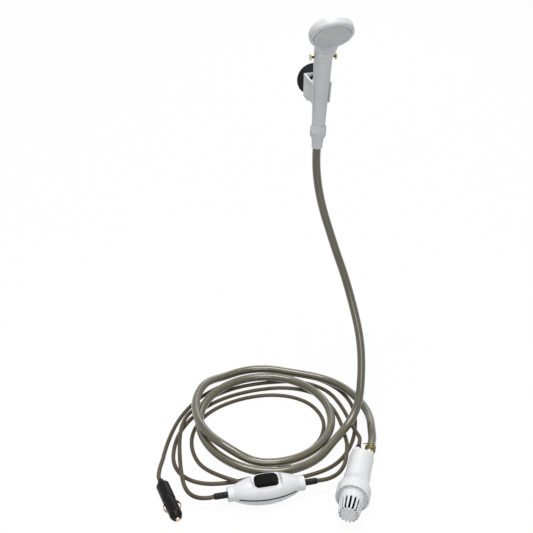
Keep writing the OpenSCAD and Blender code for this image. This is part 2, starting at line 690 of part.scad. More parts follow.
module motor_can() {
    color(steel) on_pump() {
        band(motor_r, motor_r - can_t, can_back, can_front - 2);
        band(motor_r, bush_r + seat_gap / 2, can_front - 2, can_front);
        band(seal_r + 1.4, seal_r + seat_gap / 2, can_front, can_front + seal_t);
    }
}

module motor_cap() {
    color(black) on_pump() difference() {
        union() {
            rod(motor_r, can_back - 2, can_back);
            rod(motor_r - can_t - seat_gap, can_back - 1, can_back + 3);
        }
        rod(bush_r + seat_gap / 2, can_back - 1, can_back + 4);
        for (y = wire_rows) translate([gland_place.x, gland_place.y + y, 0])
            rod(wire_r + seat_gap, can_back - 3, can_back + 4);
    }
}

module motor_magnets() {
    arc_r = motor_r - can_t - seat_gap;
    color("#3a3a3d") on_pump() for (side = [0, 180]) rotate(side) intersection() {
        band(arc_r, arc_r - magnet_t, can_back + 8, can_front - 8);
        linear_extrude(200) polygon([[0, 0], [30, -30], [60, 0], [30, 30]]);
    }
}

module motor_rotor() {
    color("#8a5a3a") on_pump() difference() {
        rod(rotor_r, can_back + 10, can_front - 10);
        rod(shaft_r + seat_gap / 2, can_back, can_front);
        for (i = [0 : 4]) rotate(72 * i) translate([4, -1, can_back]) cube([rotor_r, 2, can_len]);
    }
}

module motor_shaft() { color(steel) on_pump() rod(shaft_r, can_back - 0.8, shaft_end); }

module shaft_bushes() {
    color(brass) on_pump() for (z = [can_back - 1 + seat_gap, can_front - bush_t])
        band(bush_r, shaft_r + turn_gap, z, z + bush_t);
}

module motor_wires() {
    color("#b03030") on_pump() for (y = wire_rows) translate([gland_place.x, gland_place.y + y, 0])
        rod(wire_r, cap_t, can_back + 2.5);
}

module shaft_seal() { color(black) on_pump() band(seal_r, shaft_r + turn_gap, can_front, can_front + seal_t); }

module impeller() {
    color("#d8d8d0") on_pump() difference() {
        union() {
            rod(3.6, impeller_at, impeller_at + impeller_t);
            rod(impeller_r, impeller_at, impeller_at + 1.6);
            for (i = [0 : 5]) rotate(60 * i) translate([2, -0.8, impeller_at])
                cube([impeller_r - 3, 1.6, impeller_t - 1]);
        }
        rod(shaft_r + seat_gap / 2, impeller_at - 1, impeller_at + impeller_t + 1);
    }
}

module impeller_cover() {
    color(white) on_pump() band(strainer_bore - seat_gap, 6.5, cover_seat, cover_seat + 3);
}

module strainer() {
    skirt = cover_seat + 3 + run_gap;
    end = collar_end + strainer_out;
    taper_from = collar_end + 4;
    end_round = 2.5;
    wall = 2;
    color(white) on_pump() difference() {
        rotate_extrude() polygon(concat([[0, skirt], [strainer_r, skirt], [strainer_r, taper_from]],
            [for (a = [0 : 15 : 90]) [strainer_tip_r - end_round + end_round * cos(a),
                end - end_round + end_round * sin(a)]],
            [[0, end]]));
        rod(strainer_r - wall, skirt - 1, taper_from + skin);
        translate([0, 0, taper_from]) cylinder(h = end - wall - taper_from, r1 = strainer_r - wall,
            r2 = strainer_tip_r - wall);
        for (i = [0 : strainer_slots - 1]) rotate(360 * i / strainer_slots)
            translate([0.74 * strainer_tip_r, -slot_w / 2, collar_end + slot_from])
            cube([strainer_r, slot_w, strainer_out]);
        rod(1.2, end - 0.8, end + 1);
    }
}

module pump_lead() {
    color(grey_hose) tube(smooth(pump_lead_path, lead_steps), lead_d / 2, lead_sides, [0, 0, 1],
        [-pump_z, [cos(switch_yaw), sin(switch_yaw), 0]]);
}

module plug_lead() {
    color(grey_hose) tube(smooth(plug_lead_path, lead_steps), lead_d / 2, lead_sides, [0, 0, 1],
        [[cos(switch_yaw), sin(switch_yaw), 0], [sin(plug_yaw), -cos(plug_yaw), 0]]);
}

// Radius of the switch casing at a place along it.
function casing_r(x) = switch_r - switch_bow + sqrt(switch_bow * switch_bow - x * x);
screw_foot = switch_axis - casing_r(screw_at);
module casing_form(inset, half) {
    translate([0, 0, switch_axis]) rotate([0, 90, 0]) rotate_extrude() polygon(concat([[0, -half]],
        [for (i = [-6 : 6]) [casing_r(half * i / 6) - inset, half * i / 6]], [[0, half]]));
}

// Space between two heights, wider than the whole switch.
module slab(low, high) { translate([-100, -50, low]) cube([200, 100, high - low]); }

// The same past the ends of the seal, where cover and base meet.
module end_blocks(low, high) {
    for (side = [-1, 1]) translate([side * (seal_half + 50), 0, (low + high) / 2])
        cube([100, 100, high - low], center = true);
}

module casing_shell() {
    difference() {
        union() {
            casing_form(0, switch_half);
            for (side = [-1, 1]) translate([0, 0, switch_axis]) rotate([0, 90 * side, 0])
                rod(switch_end_r - 0.6, switch_half - 1, switch_half + end_collar_l);
        }
        intersection() {
            casing_form(switch_t, switch_half - switch_t);
            slab(switch_t, switch_ceiling);
        }
        translate([0, 0, switch_axis]) rotate([0, 90, 0])
            rod(boot_r + seat_gap, -switch_half - end_collar_l - 1, switch_half + end_collar_l + 1);
    }
}

module switch_base() {
    color(white) on_switch() difference() {
        union() {
            intersection() {
                casing_shell();
                union() {
                    slab(0, switch_part - switch_seal_t / 2);
                    end_blocks(0, switch_part);
                }
            }
            for (side = [-1, 1]) intersection() {
                translate([side * screw_at, 0, 0]) rod(boss_r, 0, switch_part - 4.5);
                casing_form(1, switch_half);
            }
            intersection() {
                translate([-12, -6, 0]) cube([24, 12, core_low]);
                casing_form(1, switch_half);
            }
        }
        for (side = [-1, 1]) translate([side * screw_at, 0, 0]) {
            rod(screw_head_r + seat_gap, -1, screw_foot + 3);
            rod(screw_r + seat_gap, 0, switch_part);
        }
    }
}

module switch_cover() {
    color(white) on_switch() difference() {
        union() {
            intersection() {
                casing_shell();
                union() {
                    slab(switch_part + switch_seal_t / 2, 60);
                    end_blocks(switch_part, 60);
                }
            }
            for (side = [-1, 1]) intersection() {
                translate([side * screw_at, 0, 0]) rod(boss_r, switch_part - 4, switch_ceiling);
                casing_form(1, switch_half);
            }
        }
        translate([0, 0, scoop_floor + scoop_r]) rotate([90, 0, 0])
            cylinder(h = 100, r = scoop_r, center = true, $fn = 128);
        translate([0, 0, switch_part]) linear_extrude(40)
            round_rect(button_l + 2 * run_gap, button_w + 2 * run_gap, button_round + run_gap);
        for (side = [-1, 1]) translate([side * screw_at, 0, 0])
            rod(screw_r + seat_gap, 0, switch_ceiling - 3);
    }
}

module switch_seal() {
    low = switch_part - switch_seal_t / 2;
    color(black) on_switch() difference() {
        intersection() {
            casing_form(seal_inset, switch_half);
            slab(low, low + switch_seal_t);
        }
        end_blocks(0, 60);
        intersection() {
            casing_form(switch_t, switch_half - switch_t);
            slab(low - 1, low + 2);
        }
    }
}

module switch_button() {
    color(black) on_switch() intersection() {
        union() {
            translate([0, 0, button_low]) linear_extrude(button_top - button_low)
                round_rect(button_l, button_w, button_round);
            translate([0, 0, button_low]) linear_extrude(button_tab_t)
                square([button_l + 2 * button_tab, button_tab_w], center = true);
        }
        translate([0, 0, button_top - crown_r]) rotate([90, 0, 0])
            cylinder(h = 100, r = crown_r, center = true, $fn = 128);
    }
}

// Coil spring along +Z with flat distance l between its ends.
module coil_spring(r, wire, turns, l) {
    translate([0, 0, wire]) tube(helix(r, turns, (l - 2 * wire) / turns, 8), wire, 6, [0, 0, 1],
        [[0, 1, 0], [0, 1, 0]]);
}

module button_spring() {
    color(steel) on_switch() translate([0, 0, core_top + seat_gap])
        coil_spring(5, 0.5, 4, button_low - core_top - 2 * seat_gap);
}

module switch_core() {
    color("#2a2a60") on_switch() translate([-14, -8, core_low])
        cube([28, 16, core_top - core_low]);
}

module switch_screws() {
    color(steel) on_switch() for (side = [-1, 1]) translate([side * screw_at, 0, 0]) {
        rod(screw_head_r, screw_foot + 1, screw_foot + 3);
        rod(screw_r, screw_foot + 2, switch_ceiling - 4);
    }
}

module switch_boots() {
    in = switch_half + end_collar_l - boot_in;
    out = switch_half + end_collar_l + boot_l;
    color(black) on_switch() for (side = [-1, 1]) translate([0, 0, switch_axis]) rotate([0, 90 * side, 0])
        rotate_extrude() polygon([[0, in], [boot_r, in], [boot_r, out - 6], [boot_r - 0.8, out - 1],
            [boot_r - 1, out], [0, out]]);
}

module plug_body() {
    color(black) on_plug() difference() {
        rotate_extrude() polygon([[0, 0], [grip_r - 2.5, 0], [grip_r, 2.5], [grip_r, grip_l - 1],
            [front_r, grip_l], [front_r, front_end], [0, front_end]]);
        rod(lead_way_r, -1, fuse_at + 1);
        rod(fuse_r + seat_gap, fuse_at, front_end + 1);
        rod(spring_room_r, fuse_at + fuse_l, front_end + 1);
        for (side = [0, 180]) rotate(side)
            translate([slot_floor, -contact_w / 2 - run_gap, contact_at - contact_half - 1])
            cube([front_r, contact_w + 2 * run_gap, 2 * contact_half + 2]);
    }
}

module plug_nose() {
    color(black) on_plug() difference() {
        rotate_extrude() polygon([[0, front_end], [front_r, front_end], [front_r, front_end + nose_l / 2],
            [front_r - 2.4, nose_end], [0, nose_end]]);
        rod(nose_bore_r, front_end - 1, nose_end - nose_wall);
        rod(tip_r + run_gap, front_end, nose_end + 1);
        for (i = [0 : 3]) rotate(45 + 90 * i) translate([front_r - 1.6, -0.8, front_end + 3])
            cube([3, 1.6, nose_l]);
    }
}

module plug_boot() {
    color(black) on_plug() difference() {
        rotate_extrude() polygon([[0, -plug_boot_l], [lead_d / 2 + 0.8, -plug_boot_l], [6, -1], [6, 0],
            [0, 0]]);
        for (i = [1 : 2]) translate([0, 0, -plug_boot_l + 2.5 * i]) band(8, 4.2, -0.5, 0.5);
    }
}

module plug_tip() {
    tip_end = nose_end + tip_out;
    color(brass) on_plug() rotate_extrude() polygon(concat([[0, tip_flange_at], [tip_flange_r, tip_flange_at],
        [tip_flange_r, tip_flange_at + tip_flange_t], [tip_r, tip_flange_at + tip_flange_t]],
        [for (a = [0 : 15 : 75]) [tip_r * cos(a), tip_end - tip_r + tip_r * sin(a)]], [[0, tip_end]]));
}

module tip_spring() {
    color(steel) on_plug() translate([0, 0, fuse_at + fuse_l + seat_gap])
        coil_spring(3, 0.5, 5, tip_spring_l - 2 * seat_gap);
}

module plug_fuse() {
    color("#cfe3e6") on_plug() {
        rod(fuse_r - 0.4, fuse_at, fuse_at + fuse_l);
        for (z = [fuse_at, fuse_at + fuse_l - 6]) rod(fuse_r, z, z + 6);
    }
}

// Bowed side contact that stands out of a slot.
module side_contact() {
    rotate([90, 0, 0]) linear_extrude(contact_w, center = true) intersection() {
        translate([contact_base + contact_sag - contact_r, contact_at]) difference() {
            circle(contact_r);
            circle(contact_r - contact_t);
        }
        translate([contact_base, 0]) square([contact_r, 200]);
    }
}

module contact_left() { color(steel) on_plug() rotate(180) side_contact(); }

module contact_right() { color(steel) on_plug() side_contact(); }

suction_cup();
holder_bracket();
handset_shell();
spray_plate();
plate_seal();
hanger_studs();
hose_nut();
hose_tail();
tail_washer();
hose_riser();
hose_coil();
hose_pump_run();
hose_cuff();
hose_ferrule();
hose_clip();
pump_casing();
pump_end_cap();
cap_seal();
cable_gland();
motor_can();
motor_cap();
motor_magnets();
motor_rotor();
motor_shaft();
shaft_bushes();
motor_wires();
shaft_seal();
impeller();
impeller_cover();
strainer();
pump_lead();
plug_lead();
switch_base();
switch_cover();
switch_seal();
switch_button();
button_spring();
switch_core();
switch_screws();
switch_boots();
plug_body();
plug_nose();
plug_boot();
plug_tip();
tip_spring();
plug_fuse();
contact_left();
contact_right();
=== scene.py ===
import logging
import math
from dataclasses import dataclass, field
from enum import Enum
from typing import Any, Iterable, Sequence

import bmesh
import bpy
from mathutils import Matrix, Vector


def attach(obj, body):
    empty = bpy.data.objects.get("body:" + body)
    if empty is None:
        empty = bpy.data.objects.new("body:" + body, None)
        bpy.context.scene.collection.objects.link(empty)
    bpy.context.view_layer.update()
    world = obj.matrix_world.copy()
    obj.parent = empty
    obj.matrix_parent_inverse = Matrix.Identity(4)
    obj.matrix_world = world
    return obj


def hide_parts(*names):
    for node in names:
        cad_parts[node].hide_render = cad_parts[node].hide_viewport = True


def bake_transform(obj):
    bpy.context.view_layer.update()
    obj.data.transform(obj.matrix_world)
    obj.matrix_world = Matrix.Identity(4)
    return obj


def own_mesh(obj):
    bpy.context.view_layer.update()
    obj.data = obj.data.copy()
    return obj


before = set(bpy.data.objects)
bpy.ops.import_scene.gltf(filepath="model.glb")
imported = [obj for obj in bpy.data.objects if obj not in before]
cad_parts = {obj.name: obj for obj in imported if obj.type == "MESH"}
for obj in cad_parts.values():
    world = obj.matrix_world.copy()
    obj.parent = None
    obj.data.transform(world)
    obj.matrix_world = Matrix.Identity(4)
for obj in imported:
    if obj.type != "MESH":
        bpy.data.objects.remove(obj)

LOG = logging.getLogger("camp_shower")
MM = 0.001
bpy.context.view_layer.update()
Point = Sequence[float]
Piece = bpy.types.Object
Socket = bpy.types.NodeSocket
Tree = bpy.types.NodeTree
HERE = Matrix.Identity(4)
# Points of a mesh that lie nearer than this, in metres, become one.
WELD = 1e-7
# A profile's point with a smaller radius than this lies on the axis.
ON_AXIS = 1e-6
# Share of a side that a fillet may take, so that two fillets never meet.
FILLET_SHARE = 0.49
# Span of the slow noise over which a finish goes from its dark to its light colour.
CLOUD_SPAN = {"From Min": 0.3, "From Max": 0.7}
# Span of Pointiness over which an edge goes from fresh to rubbed.
EDGE_SPAN = {"From Min": 0.52, "From Max": 0.62}


class Body(Enum):
    """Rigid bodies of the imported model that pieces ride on."""

    SET = "set"
    CUP = "suction_cup"
    HANDSET = "handset"
    NUT = "hose_nut"
    STRAINER = "strainer"
    BUTTON = "switch_button"
    TIP = "plug_tip"
    LEFT = "contact_left"
    RIGHT = "contact_right"


class Cut(Enum):
    """What a tool does to the piece that it meets."""

    AWAY = "DIFFERENCE"
    JOIN = "UNION"
    CROSS = "INTERSECT"


class Slot(Enum):
    """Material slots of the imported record."""

    ABS = "abs_white"
    RUBBER = "rubber_black"
    BLACK = "plastic_black"
    PVC = "pvc_hose"
    BRASS = "brass"
    STEEL = "steel"


# Nodes and colours


def linear(code: str) -> tuple[float, float, float, float]:
    """Turns an sRGB hex colour into linear RGBA.

    Args:
        code: colour such as "#eef0f2".

    Returns:
        Linear red, green, blue and an alpha of one.
    """
    parts = [int(code[i:i + 2], 16) / 255 for i in (1, 3, 5)]
    flat = [c / 12.92 if c <= 0.04045 else ((c + 0.055) / 1.055) ** 2.4 for c in parts]
    return flat[0], flat[1], flat[2], 1.0


def add(tree: Tree, kind: str, values: dict[str | int, Any] | None = None,
        links: dict[str | int, Socket] | None = None, **settings: Any) -> bpy.types.Node:
    """Adds one node with its settings, socket values and incoming links.

    Args:
        tree: node tree that takes the node.
        kind: Blender's node type.
        values: default values by the input's name or number.
        links: output sockets by the name or number of the input that they feed.
        settings: properties of the node itself.

    Returns:
        The new node.
    """
    node = tree.nodes.new(kind)
    for key, value in settings.items():
        setattr(node, key, value)
    for key, value in (values or {}).items():
        node.inputs[key].default_value = value
    for key, socket in (links or {}).items():
        tree.links.new(socket, node.inputs[key])
    return node


class Weave(Enum):
    """Surface patterns that a finish can have in place of its grain."""

    NONE = "none"
    CROSSHATCH = "crosshatch"


@dataclass(frozen=True)
class Finish:
    """One real material: its colours, gloss and moulded or drawn surface.

    Sizes are millimetres on the object. `grain` is the small texture that the bump shows, `cloud` the
    slow change from the dark to the light colour, and `edge` the colour of rubbed edges.
    """

    name: str
    light: str
    dark: str
    rough: float
    rough_spread: float = 0.06
    grain: float = 0.6
    bump: float = 0.02
    cloud: float = 25.0
    metallic: float = 0.0
    ior: float = 1.5
    specular: float = 0.5
    coat: float = 0.0
    coat_rough: float = 0.12
    weave: Weave = Weave.NONE
    weave_size: float = 1.0
    edge: str = ""

    def material(self) -> bpy.types.Material:
        """Builds the finish once and hands back the same material afterwards.

        Returns:
            The finish's material.
        """
        found = bpy.data.materials.get(self.name)
        if found:
            return found
        made = bpy.data.materials.new(self.name)
        made.use_nodes = True
        tree = made.node_tree
        tree.nodes.clear()
        place = add(tree, "ShaderNodeTexCoord").outputs["Object"]
        cloud = add(tree, "ShaderNodeTexNoise", {"Scale": 1 / (self.cloud * MM), "Detail": 3.0},
                    {"Vector": place})
        grain = add(tree, "ShaderNodeTexNoise", {"Scale": 1 / (self.grain * MM), "Detail": 2.0},
                    {"Vector": place})
        rough = add(tree, "ShaderNodeMapRange", {"To Min": self.rough - self.rough_spread,
                    "To Max": self.rough + self.rough_spread}, {"Value": grain.outputs["Fac"]})
        height = self.height(tree, place, grain.outputs["Fac"])
        bump = add(tree, "ShaderNodeBump", {"Strength": 1.0, "Distance": self.bump * MM}, {"Height": height})
        shader = add(tree, "ShaderNodeBsdfPrincipled",
                     {"Metallic": self.metallic, "IOR": self.ior, "Specular IOR Level": self.specular,
                      "Coat Weight": self.coat, "Coat Roughness": self.coat_rough},
                     {"Base Color": self.colour(tree, cloud.outputs["Fac"]),
                      "Roughness": rough.outputs["Result"], "Normal": bump.outputs["Normal"]})
        add(tree, "ShaderNodeOutputMaterial", None, {"Surface": shader.outputs["BSDF"]})
        return made

    def colour(self, tree: Tree, cloud: Socket) -> Socket:
        """Goes from the dark to the light colour with the cloud, and rubs the edges.

        Args:
            tree: node tree of the material.
            cloud: slow noise.

        Returns:
            The colour that the shader reads.
        """
        share = add(tree, "ShaderNodeMapRange", CLOUD_SPAN, {"Value": cloud})
        shade = add(tree, "ShaderNodeMix", {6: linear(self.dark), 7: linear(self.light)},
                    {0: share.outputs["Result"]}, data_type="RGBA").outputs[2]
        if not self.edge:
            return shade
        sharp = add(tree, "ShaderNodeNewGeometry").outputs["Pointiness"]
        worn = add(tree, "ShaderNodeMapRange", EDGE_SPAN, {"Value": sharp})
        return add(tree, "ShaderNodeMix", {7: linear(self.edge)}, {0: worn.outputs["Result"], 6: shade},
                   data_type="RGBA").outputs[2]

    def height(self, tree: Tree, place: Socket, grain: Socket) -> Socket:
        """Picks the grain or, where the finish has one, its pattern.

        Args:
            tree: node tree of the material.
            place: texture coordinates in metres.
            grain: height of the fine grain.

        Returns:
            The height that the bump reads.
        """
        if self.weave is Weave.NONE:
            return grain
        # Blender's wave repeats every tenth of pi at a scale of one.
        scale = math.pi / 10 / (self.weave_size * MM)
        across, along = (add(tree, "ShaderNodeTexWave", {"Scale": scale}, {"Vector": place},
                             bands_direction=axis).outputs["Fac"] for axis in "XY")
        return add(tree, "ShaderNodeMath", None, {0: across, 1: along}, operation="MULTIPLY").outputs["Value"]


# Injection-moulded ABS: bright, even white with a soft gloss and a faint moulded grain.
ABS_WHITE = Finish("moulded_white_abs", "#eef0f2", "#e8eaed", rough=0.3, grain=0.9, bump=0.012)
# Spark-eroded white ABS of the spray plate: duller, which is real, and a shade greyer than the rim round it,
# which is painted shade on the face that looks down.
ABS_PLATE_PAINTED_SHADE = Finish("textured_white_abs_painted_shade", "#dcdee1", "#d6d8db", rough=0.42, grain=0.7, bump=0.02)
# Moulded ABS inside the strainer and in front of the impeller, coloured near black as painted shade for the
# deep shadow in there.
ABS_PAINTED_SHADE = Finish("painted_shade_abs", "#2b2928", "#1f1d1c", rough=0.5, grain=1.0)
# Moulded nitrile rubber: nearly black, with a dull sheen and a slightly dusty cloud.
RUBBER = Finish("moulded_black_rubber", "#171516", "#0f0e0f", rough=0.42, grain=0.7, bump=0.03,
                specular=0.2)
# Extruded soft PVC hose: dark olive, under a glossy skin whose bright lines lighten it.
HOSE_PVC = Finish("extruded_olive_pvc_hose", "#564f33", "#453f28", rough=0.28, grain=1.4, bump=0.02,
                  cloud=40, coat=1.0)
# Extruded PVC lead jacket: browner and duller than the hose.
LEAD_PVC = Finish("extruded_pvc_lead", "#594f3d", "#4a4132", rough=0.38, grain=0.8, bump=0.02, cloud=30,
                  specular=0.3)
# Spark-eroded black ABS: deep black with a fine mould texture and rubbed edges.
BLACK_ABS = Finish("textured_black_abs", "#100f10", "#09090a", rough=0.3, grain=0.5, bump=0.03,
                   specular=0.15, edge="#242426")
# Moulded black ABS of the button: dull, with a fine crosshatch that is drawn at 0.9 mm to show.
BUTTON_ABS = Finish("crosshatched_black_abs", "#140f0d", "#0c0908", rough=0.5, bump=0.08, specular=0.06,
                    weave=Weave.CROSSHATCH, weave_size=0.9)
# Turned and plated brass: pale gold and bright.
BRASS = Finish("turned_brass", "#d3c8a6", "#b5a67c", rough=0.22, grain=0.4, bump=0.01, metallic=1.0)
# Drawn brass wire and strip: duller and browner than the turned brass.
BRASS_WIRE = Finish("drawn_brass_wire", "#ab9d78", "#7d7052", rough=0.28, grain=0.5, bump=0.01,
                    metallic=1.0)
# Drawn steel: neutral grey with a fine, faint grain.
STEEL = Finish("drawn_steel", "#b4b6ba", "#9a9ca1", rough=0.32, grain=0.3, bump=0.01, metallic=1.0)
# Steel of the studs' shanks: coloured brownish black, with a low shine.
DARK_SHANK_STEEL = Finish("dark_shank_steel", "#3c3835", "#2a2725", rough=0.35, grain=0.4, metallic=1.0)
# Enamelled copper windings: reddish brown under a clear lacquer.
COPPER = Finish("enamelled_copper", "#a35d36", "#7e4426", rough=0.35, grain=0.4, metallic=1.0)
# Extruded PVC wire insulation: an even red with a soft gloss.
WIRE_PVC = Finish("red_pvc_insulation", "#a8262a", "#8c1f22", rough=0.4)
# Sintered ferrite: dark grey and matt.
FERRITE = Finish("sintered_ferrite", "#3b3b3e", "#2c2c2f", rough=0.6, grain=0.3)
# Moulded acetal of the impeller: creamy and waxy.
ACETAL = Finish("moulded_acetal", "#d8d0bc", "#cbc2ad", rough=0.42, grain=0.7)
# Drawn glass of the fuse: pale, smooth and polished.
FUSE_GLASS = Finish("fuse_glass", "#cfe3e6", "#bcd2d6", rough=0.08, ior=1.5)


# Meshes


def solid(name: str, points: Iterable[Point], faces: Iterable[Sequence[int]],
          place: Matrix = HERE) -> Piece:
    """Makes a mesh object from points in millimetres.

    Args:
        name: name of the piece.
        points: corners in the local frame, in millimetres.
        faces: corner numbers of each face.
        place: local frame in the set, in millimetres.

    Returns:
        The new object, at the origin, in metres.
    """
    mesh = bpy.data.meshes.new(name)
    mesh.from_pydata([(place @ Vector(p)) * MM for p in points], [], [tuple(f) for f in faces])
    work = bmesh.new()
    work.from_mesh(mesh)
    bmesh.ops.remove_doubles(work, verts=work.verts, dist=WELD)
    bmesh.ops.recalc_face_normals(work, faces=work.faces)
    work.to_mesh(mesh)
    work.free()
    made = bpy.data.objects.new(name, mesh)
    bpy.context.scene.collection.objects.link(made)
    return made


def rounded(corners: Sequence[Sequence[float]], steps: int = 5) -> list[tuple[float, float]]:
    """Rounds the corners of a profile.

    Args:
        corners: radius, height and, where it isn't sharp, the fillet of each corner.
        steps: straight pieces in each fillet.

    Returns:
        The profile's points.
    """
    out: list[tuple[float, float]] = []
    for i, corner in enumerate(corners):
        here = Vector(corner[:2])
        fillet = corner[2] if len(corner) > 2 else 0.0
        if not fillet or i in (0, len(corners) - 1):
            out.append(tuple(here))
            continue
        back = Vector(corners[i - 1][:2]) - here
        on = Vector(corners[i + 1][:2]) - here
        half = back.angle(on) / 2
        reach = min(fillet / math.tan(half), FILLET_SHARE * back.length, FILLET_SHARE * on.length)
        start, end = here + back.normalized() * reach, here + on.normalized() * reach
        radius = reach * math.tan(half)
        mid = here + (back.normalized() + on.normalized()).normalized() * (radius / math.sin(half))
        first, last = start - mid, end - mid
        swing = first.angle_signed(last)
        for k in range(steps + 1):
            out.append(tuple(mid + Matrix.Rotation(-swing * k / steps, 2) @ first))
    return out


def lathe(name: str, profile: Sequence[Point], place: Matrix, segments: int = 96,
          ring: bool = False) -> Piece:
    """Turns a profile round the local Z axis.

    Args:
        name: name of the piece.
        profile: radius and height of each point.
        place: local frame in the set.
        segments: faces round the axis.
        ring: whether the profile closes on itself away from the axis.

    Returns:
        The turned piece.
    """
    points, faces, rows = [], [], []
    for r, z in profile:
        if r < ON_AXIS:
            rows.append([len(points)] * segments)
            points.append((0.0, 0.0, z))
        else:
            rows.append(list(range(len(points), len(points) + segments)))
            points += [(r * math.cos(math.tau * k / segments), r * math.sin(math.tau * k / segments), z)
                       for k in range(segments)]
    pairs = list(zip(rows, rows[1:])) + ([(rows[-1], rows[0])] if ring else [])
    for low, high in pairs:
        for k in range(segments):
            corners = [low[k], low[k - segments + 1], high[k - segments + 1], high[k]]
            faces.append(list(dict.fromkeys(corners)))
    return solid(name, points, [f for f in faces if len(f) > 2], place)


def sweep(name: str, path: Sequence[Vector], radius: float, sides: int,
          place: Matrix = HERE) -> Piece:
    """Sweeps a round section along a path without twist.

    Args:
        name: name of the piece.
        path: centre points in millimetres.
        radius: radius of the section.
        sides: corners of the section.
        place: local frame in the set.

    Returns:
        The tube, closed at both ends.
    """
    count, steep = len(path), 0.9
    side = Vector((0, 0, 1))
    points, faces = [], []
    for i, mid in enumerate(path):
        along = (path[min(i + 1, count - 1)] - path[max(i - 1, 0)]).normalized()
        if i == 0 and abs(along.z) > steep:
            side = Vector((1, 0, 0))
        side = (side - along * side.dot(along)).normalized()
        up = along.cross(side)
        for k in range(sides):
            a = math.tau * k / sides
            points.append(mid + radius * (math.cos(a) * side + math.sin(a) * up))
    for i in range(count - 1):
        for k in range(sides):
            a, b = i * sides + k, i * sides + (k + 1) % sides
            faces.append((a, b, b + sides, a + sides))
    faces += [tuple(range(sides)), tuple(range((count - 1) * sides, count * sides))]
    return solid(name, points, faces, place)


def block(name: str, low: Point, high: Point, place: Matrix = HERE) -> Piece:
    """Makes a box between two corners, for cutting.

    Args:
        name: name of the piece.
        low: lowest corner.
        high: highest corner.
        place: local frame in the set.

    Returns:
        The box.
    """
    points = [(x, y, z) for x in (low[0], high[0]) for y in (low[1], high[1]) for z in (low[2], high[2])]
    faces = [(0, 1, 3, 2), (4, 6, 7, 5), (0, 4, 5, 1), (2, 3, 7, 6), (0, 2, 6, 4), (1, 5, 7, 3)]
    return solid(name, points, faces, place)


def prism(name: str, outline: Sequence[Point], low: float, high: float,
          place: Matrix = HERE) -> Piece:
    """Raises an outline along the local Z axis.

    Args:
        name: name of the piece.
        outline: corners of the outline.
        low: lower height.
        high: upper height.
        place: local frame in the set.

    Returns:
        The prism.
    """
    n = len(outline)
    points = [(x, y, z) for z in (low, high) for x, y in outline]
    faces = [tuple(range(n)), tuple(range(n, 2 * n))]
    faces += [(k, (k + 1) % n, n + (k + 1) % n, n + k) for k in range(n)]
    return solid(name, points, faces, place)


def pill(length: float, width: float, radius: float, steps: int = 8) -> list[tuple[float, float]]:
    """Outline of a rectangle with round corners.

    Args:
        length: size along X.
        width: size along Y.
        radius: corner radius.
        steps: straight pieces in each corner.

    Returns:
        The outline's corners, anticlockwise.
    """
    out = []
    for quarter, (sx, sy) in enumerate(((1, 1), (-1, 1), (-1, -1), (1, -1))):
        for k in range(steps + 1):
            a = math.pi / 2 * (quarter + k / steps)
            out.append((sx * (length / 2 - radius) + radius * math.cos(a),
                        sy * (width / 2 - radius) + radius * math.sin(a)))
    return out


def settle(piece: Piece) -> Piece:
    """Applies a piece's modifiers to its mesh.

    Args:
        piece: piece with modifiers.

    Returns:
        The same piece without them.
    """
    graph = bpy.context.evaluated_depsgraph_get()
    mesh = bpy.data.meshes.new_from_object(piece.evaluated_get(graph))
    old = piece.data
    piece.modifiers.clear()
    piece.data = mesh
    bpy.data.meshes.remove(old)
    return piece


def carve(piece: Piece, tools: Sequence[Piece], way: Cut = Cut.AWAY) -> Piece:
    """Cuts, joins or crosses a piece with tools, which are used up.

    Args:
        piece: piece that changes.
        tools: other solids.
        way: what the tools do.

    Returns:
        The changed piece.
    """
    for tool in tools:
        cut = piece.modifiers.new("carve", "BOOLEAN")
        cut.operation, cut.object, cut.solver = way.value, tool, "EXACT"
        settle(piece)
        bpy.data.objects.remove(tool)
    return piece


def join(piece: Piece, others: Sequence[Piece]) -> Piece:
    """Puts separate forms into one mesh, which keeps each one's materials.

    Args:
        piece: piece that takes the others in.
        others: pieces that are used up.

    Returns:
        The joined piece.
    """
    for other in others:
        numbers = []
        for slot in other.material_slots:
            names = [s.name for s in piece.data.materials if s]
            if slot.material.name not in names:
                piece.data.materials.append(slot.material)
            numbers.append([m.name for m in piece.data.materials].index(slot.material.name))
        work = bmesh.new()
        work.from_mesh(piece.data)
        count = len(work.faces)
        work.from_mesh(other.data)
        work.faces.ensure_lookup_table()
        for face in work.faces[count:]:
            face.material_index = numbers[face.material_index] if numbers else 0
        work.to_mesh(piece.data)
        work.free()
        bpy.data.objects.remove(other)
    return piece


def soften(piece: Piece, width: float, segments: int = 3, angle: float = 35) -> Piece:
    """Rounds a piece's sharp edges.

    Args:
        piece: piece that changes.
        width: width of the rounding in millimetres.
        segments: faces across the rounding.
        angle: least angle of a sharp edge in degrees.

    Returns:
        The changed piece.
    """
    bevel = piece.modifiers.new("soften", "BEVEL")
    bevel.width, bevel.segments = width * MM, segments
    bevel.limit_method, bevel.angle_limit = "ANGLE", math.radians(angle)
    bevel.use_clamp_overlap, bevel.loop_slide = True, True
    return settle(piece)


def smooth(piece: Piece, angle: float) -> Piece:
    """Shades a piece smoothly, apart from its sharp edges.

    Args:
        piece: piece that changes.
        angle: least angle of a sharp edge in degrees.

    Returns:
        The changed piece.
    """
    piece.data.polygons.foreach_set("use_smooth", [True] * len(piece.data.polygons))
    piece.data.set_sharp_from_angle(angle=math.radians(angle))
    return piece


def dress(piece: Piece, finish: Finish) -> Piece:
    """Gives a whole piece one finish.

    Args:
        piece: piece that changes.
        finish: its finish.

    Returns:
        The changed piece.
    """
    piece.data.materials.clear()
    piece.data.materials.append(finish.material())
    return piece


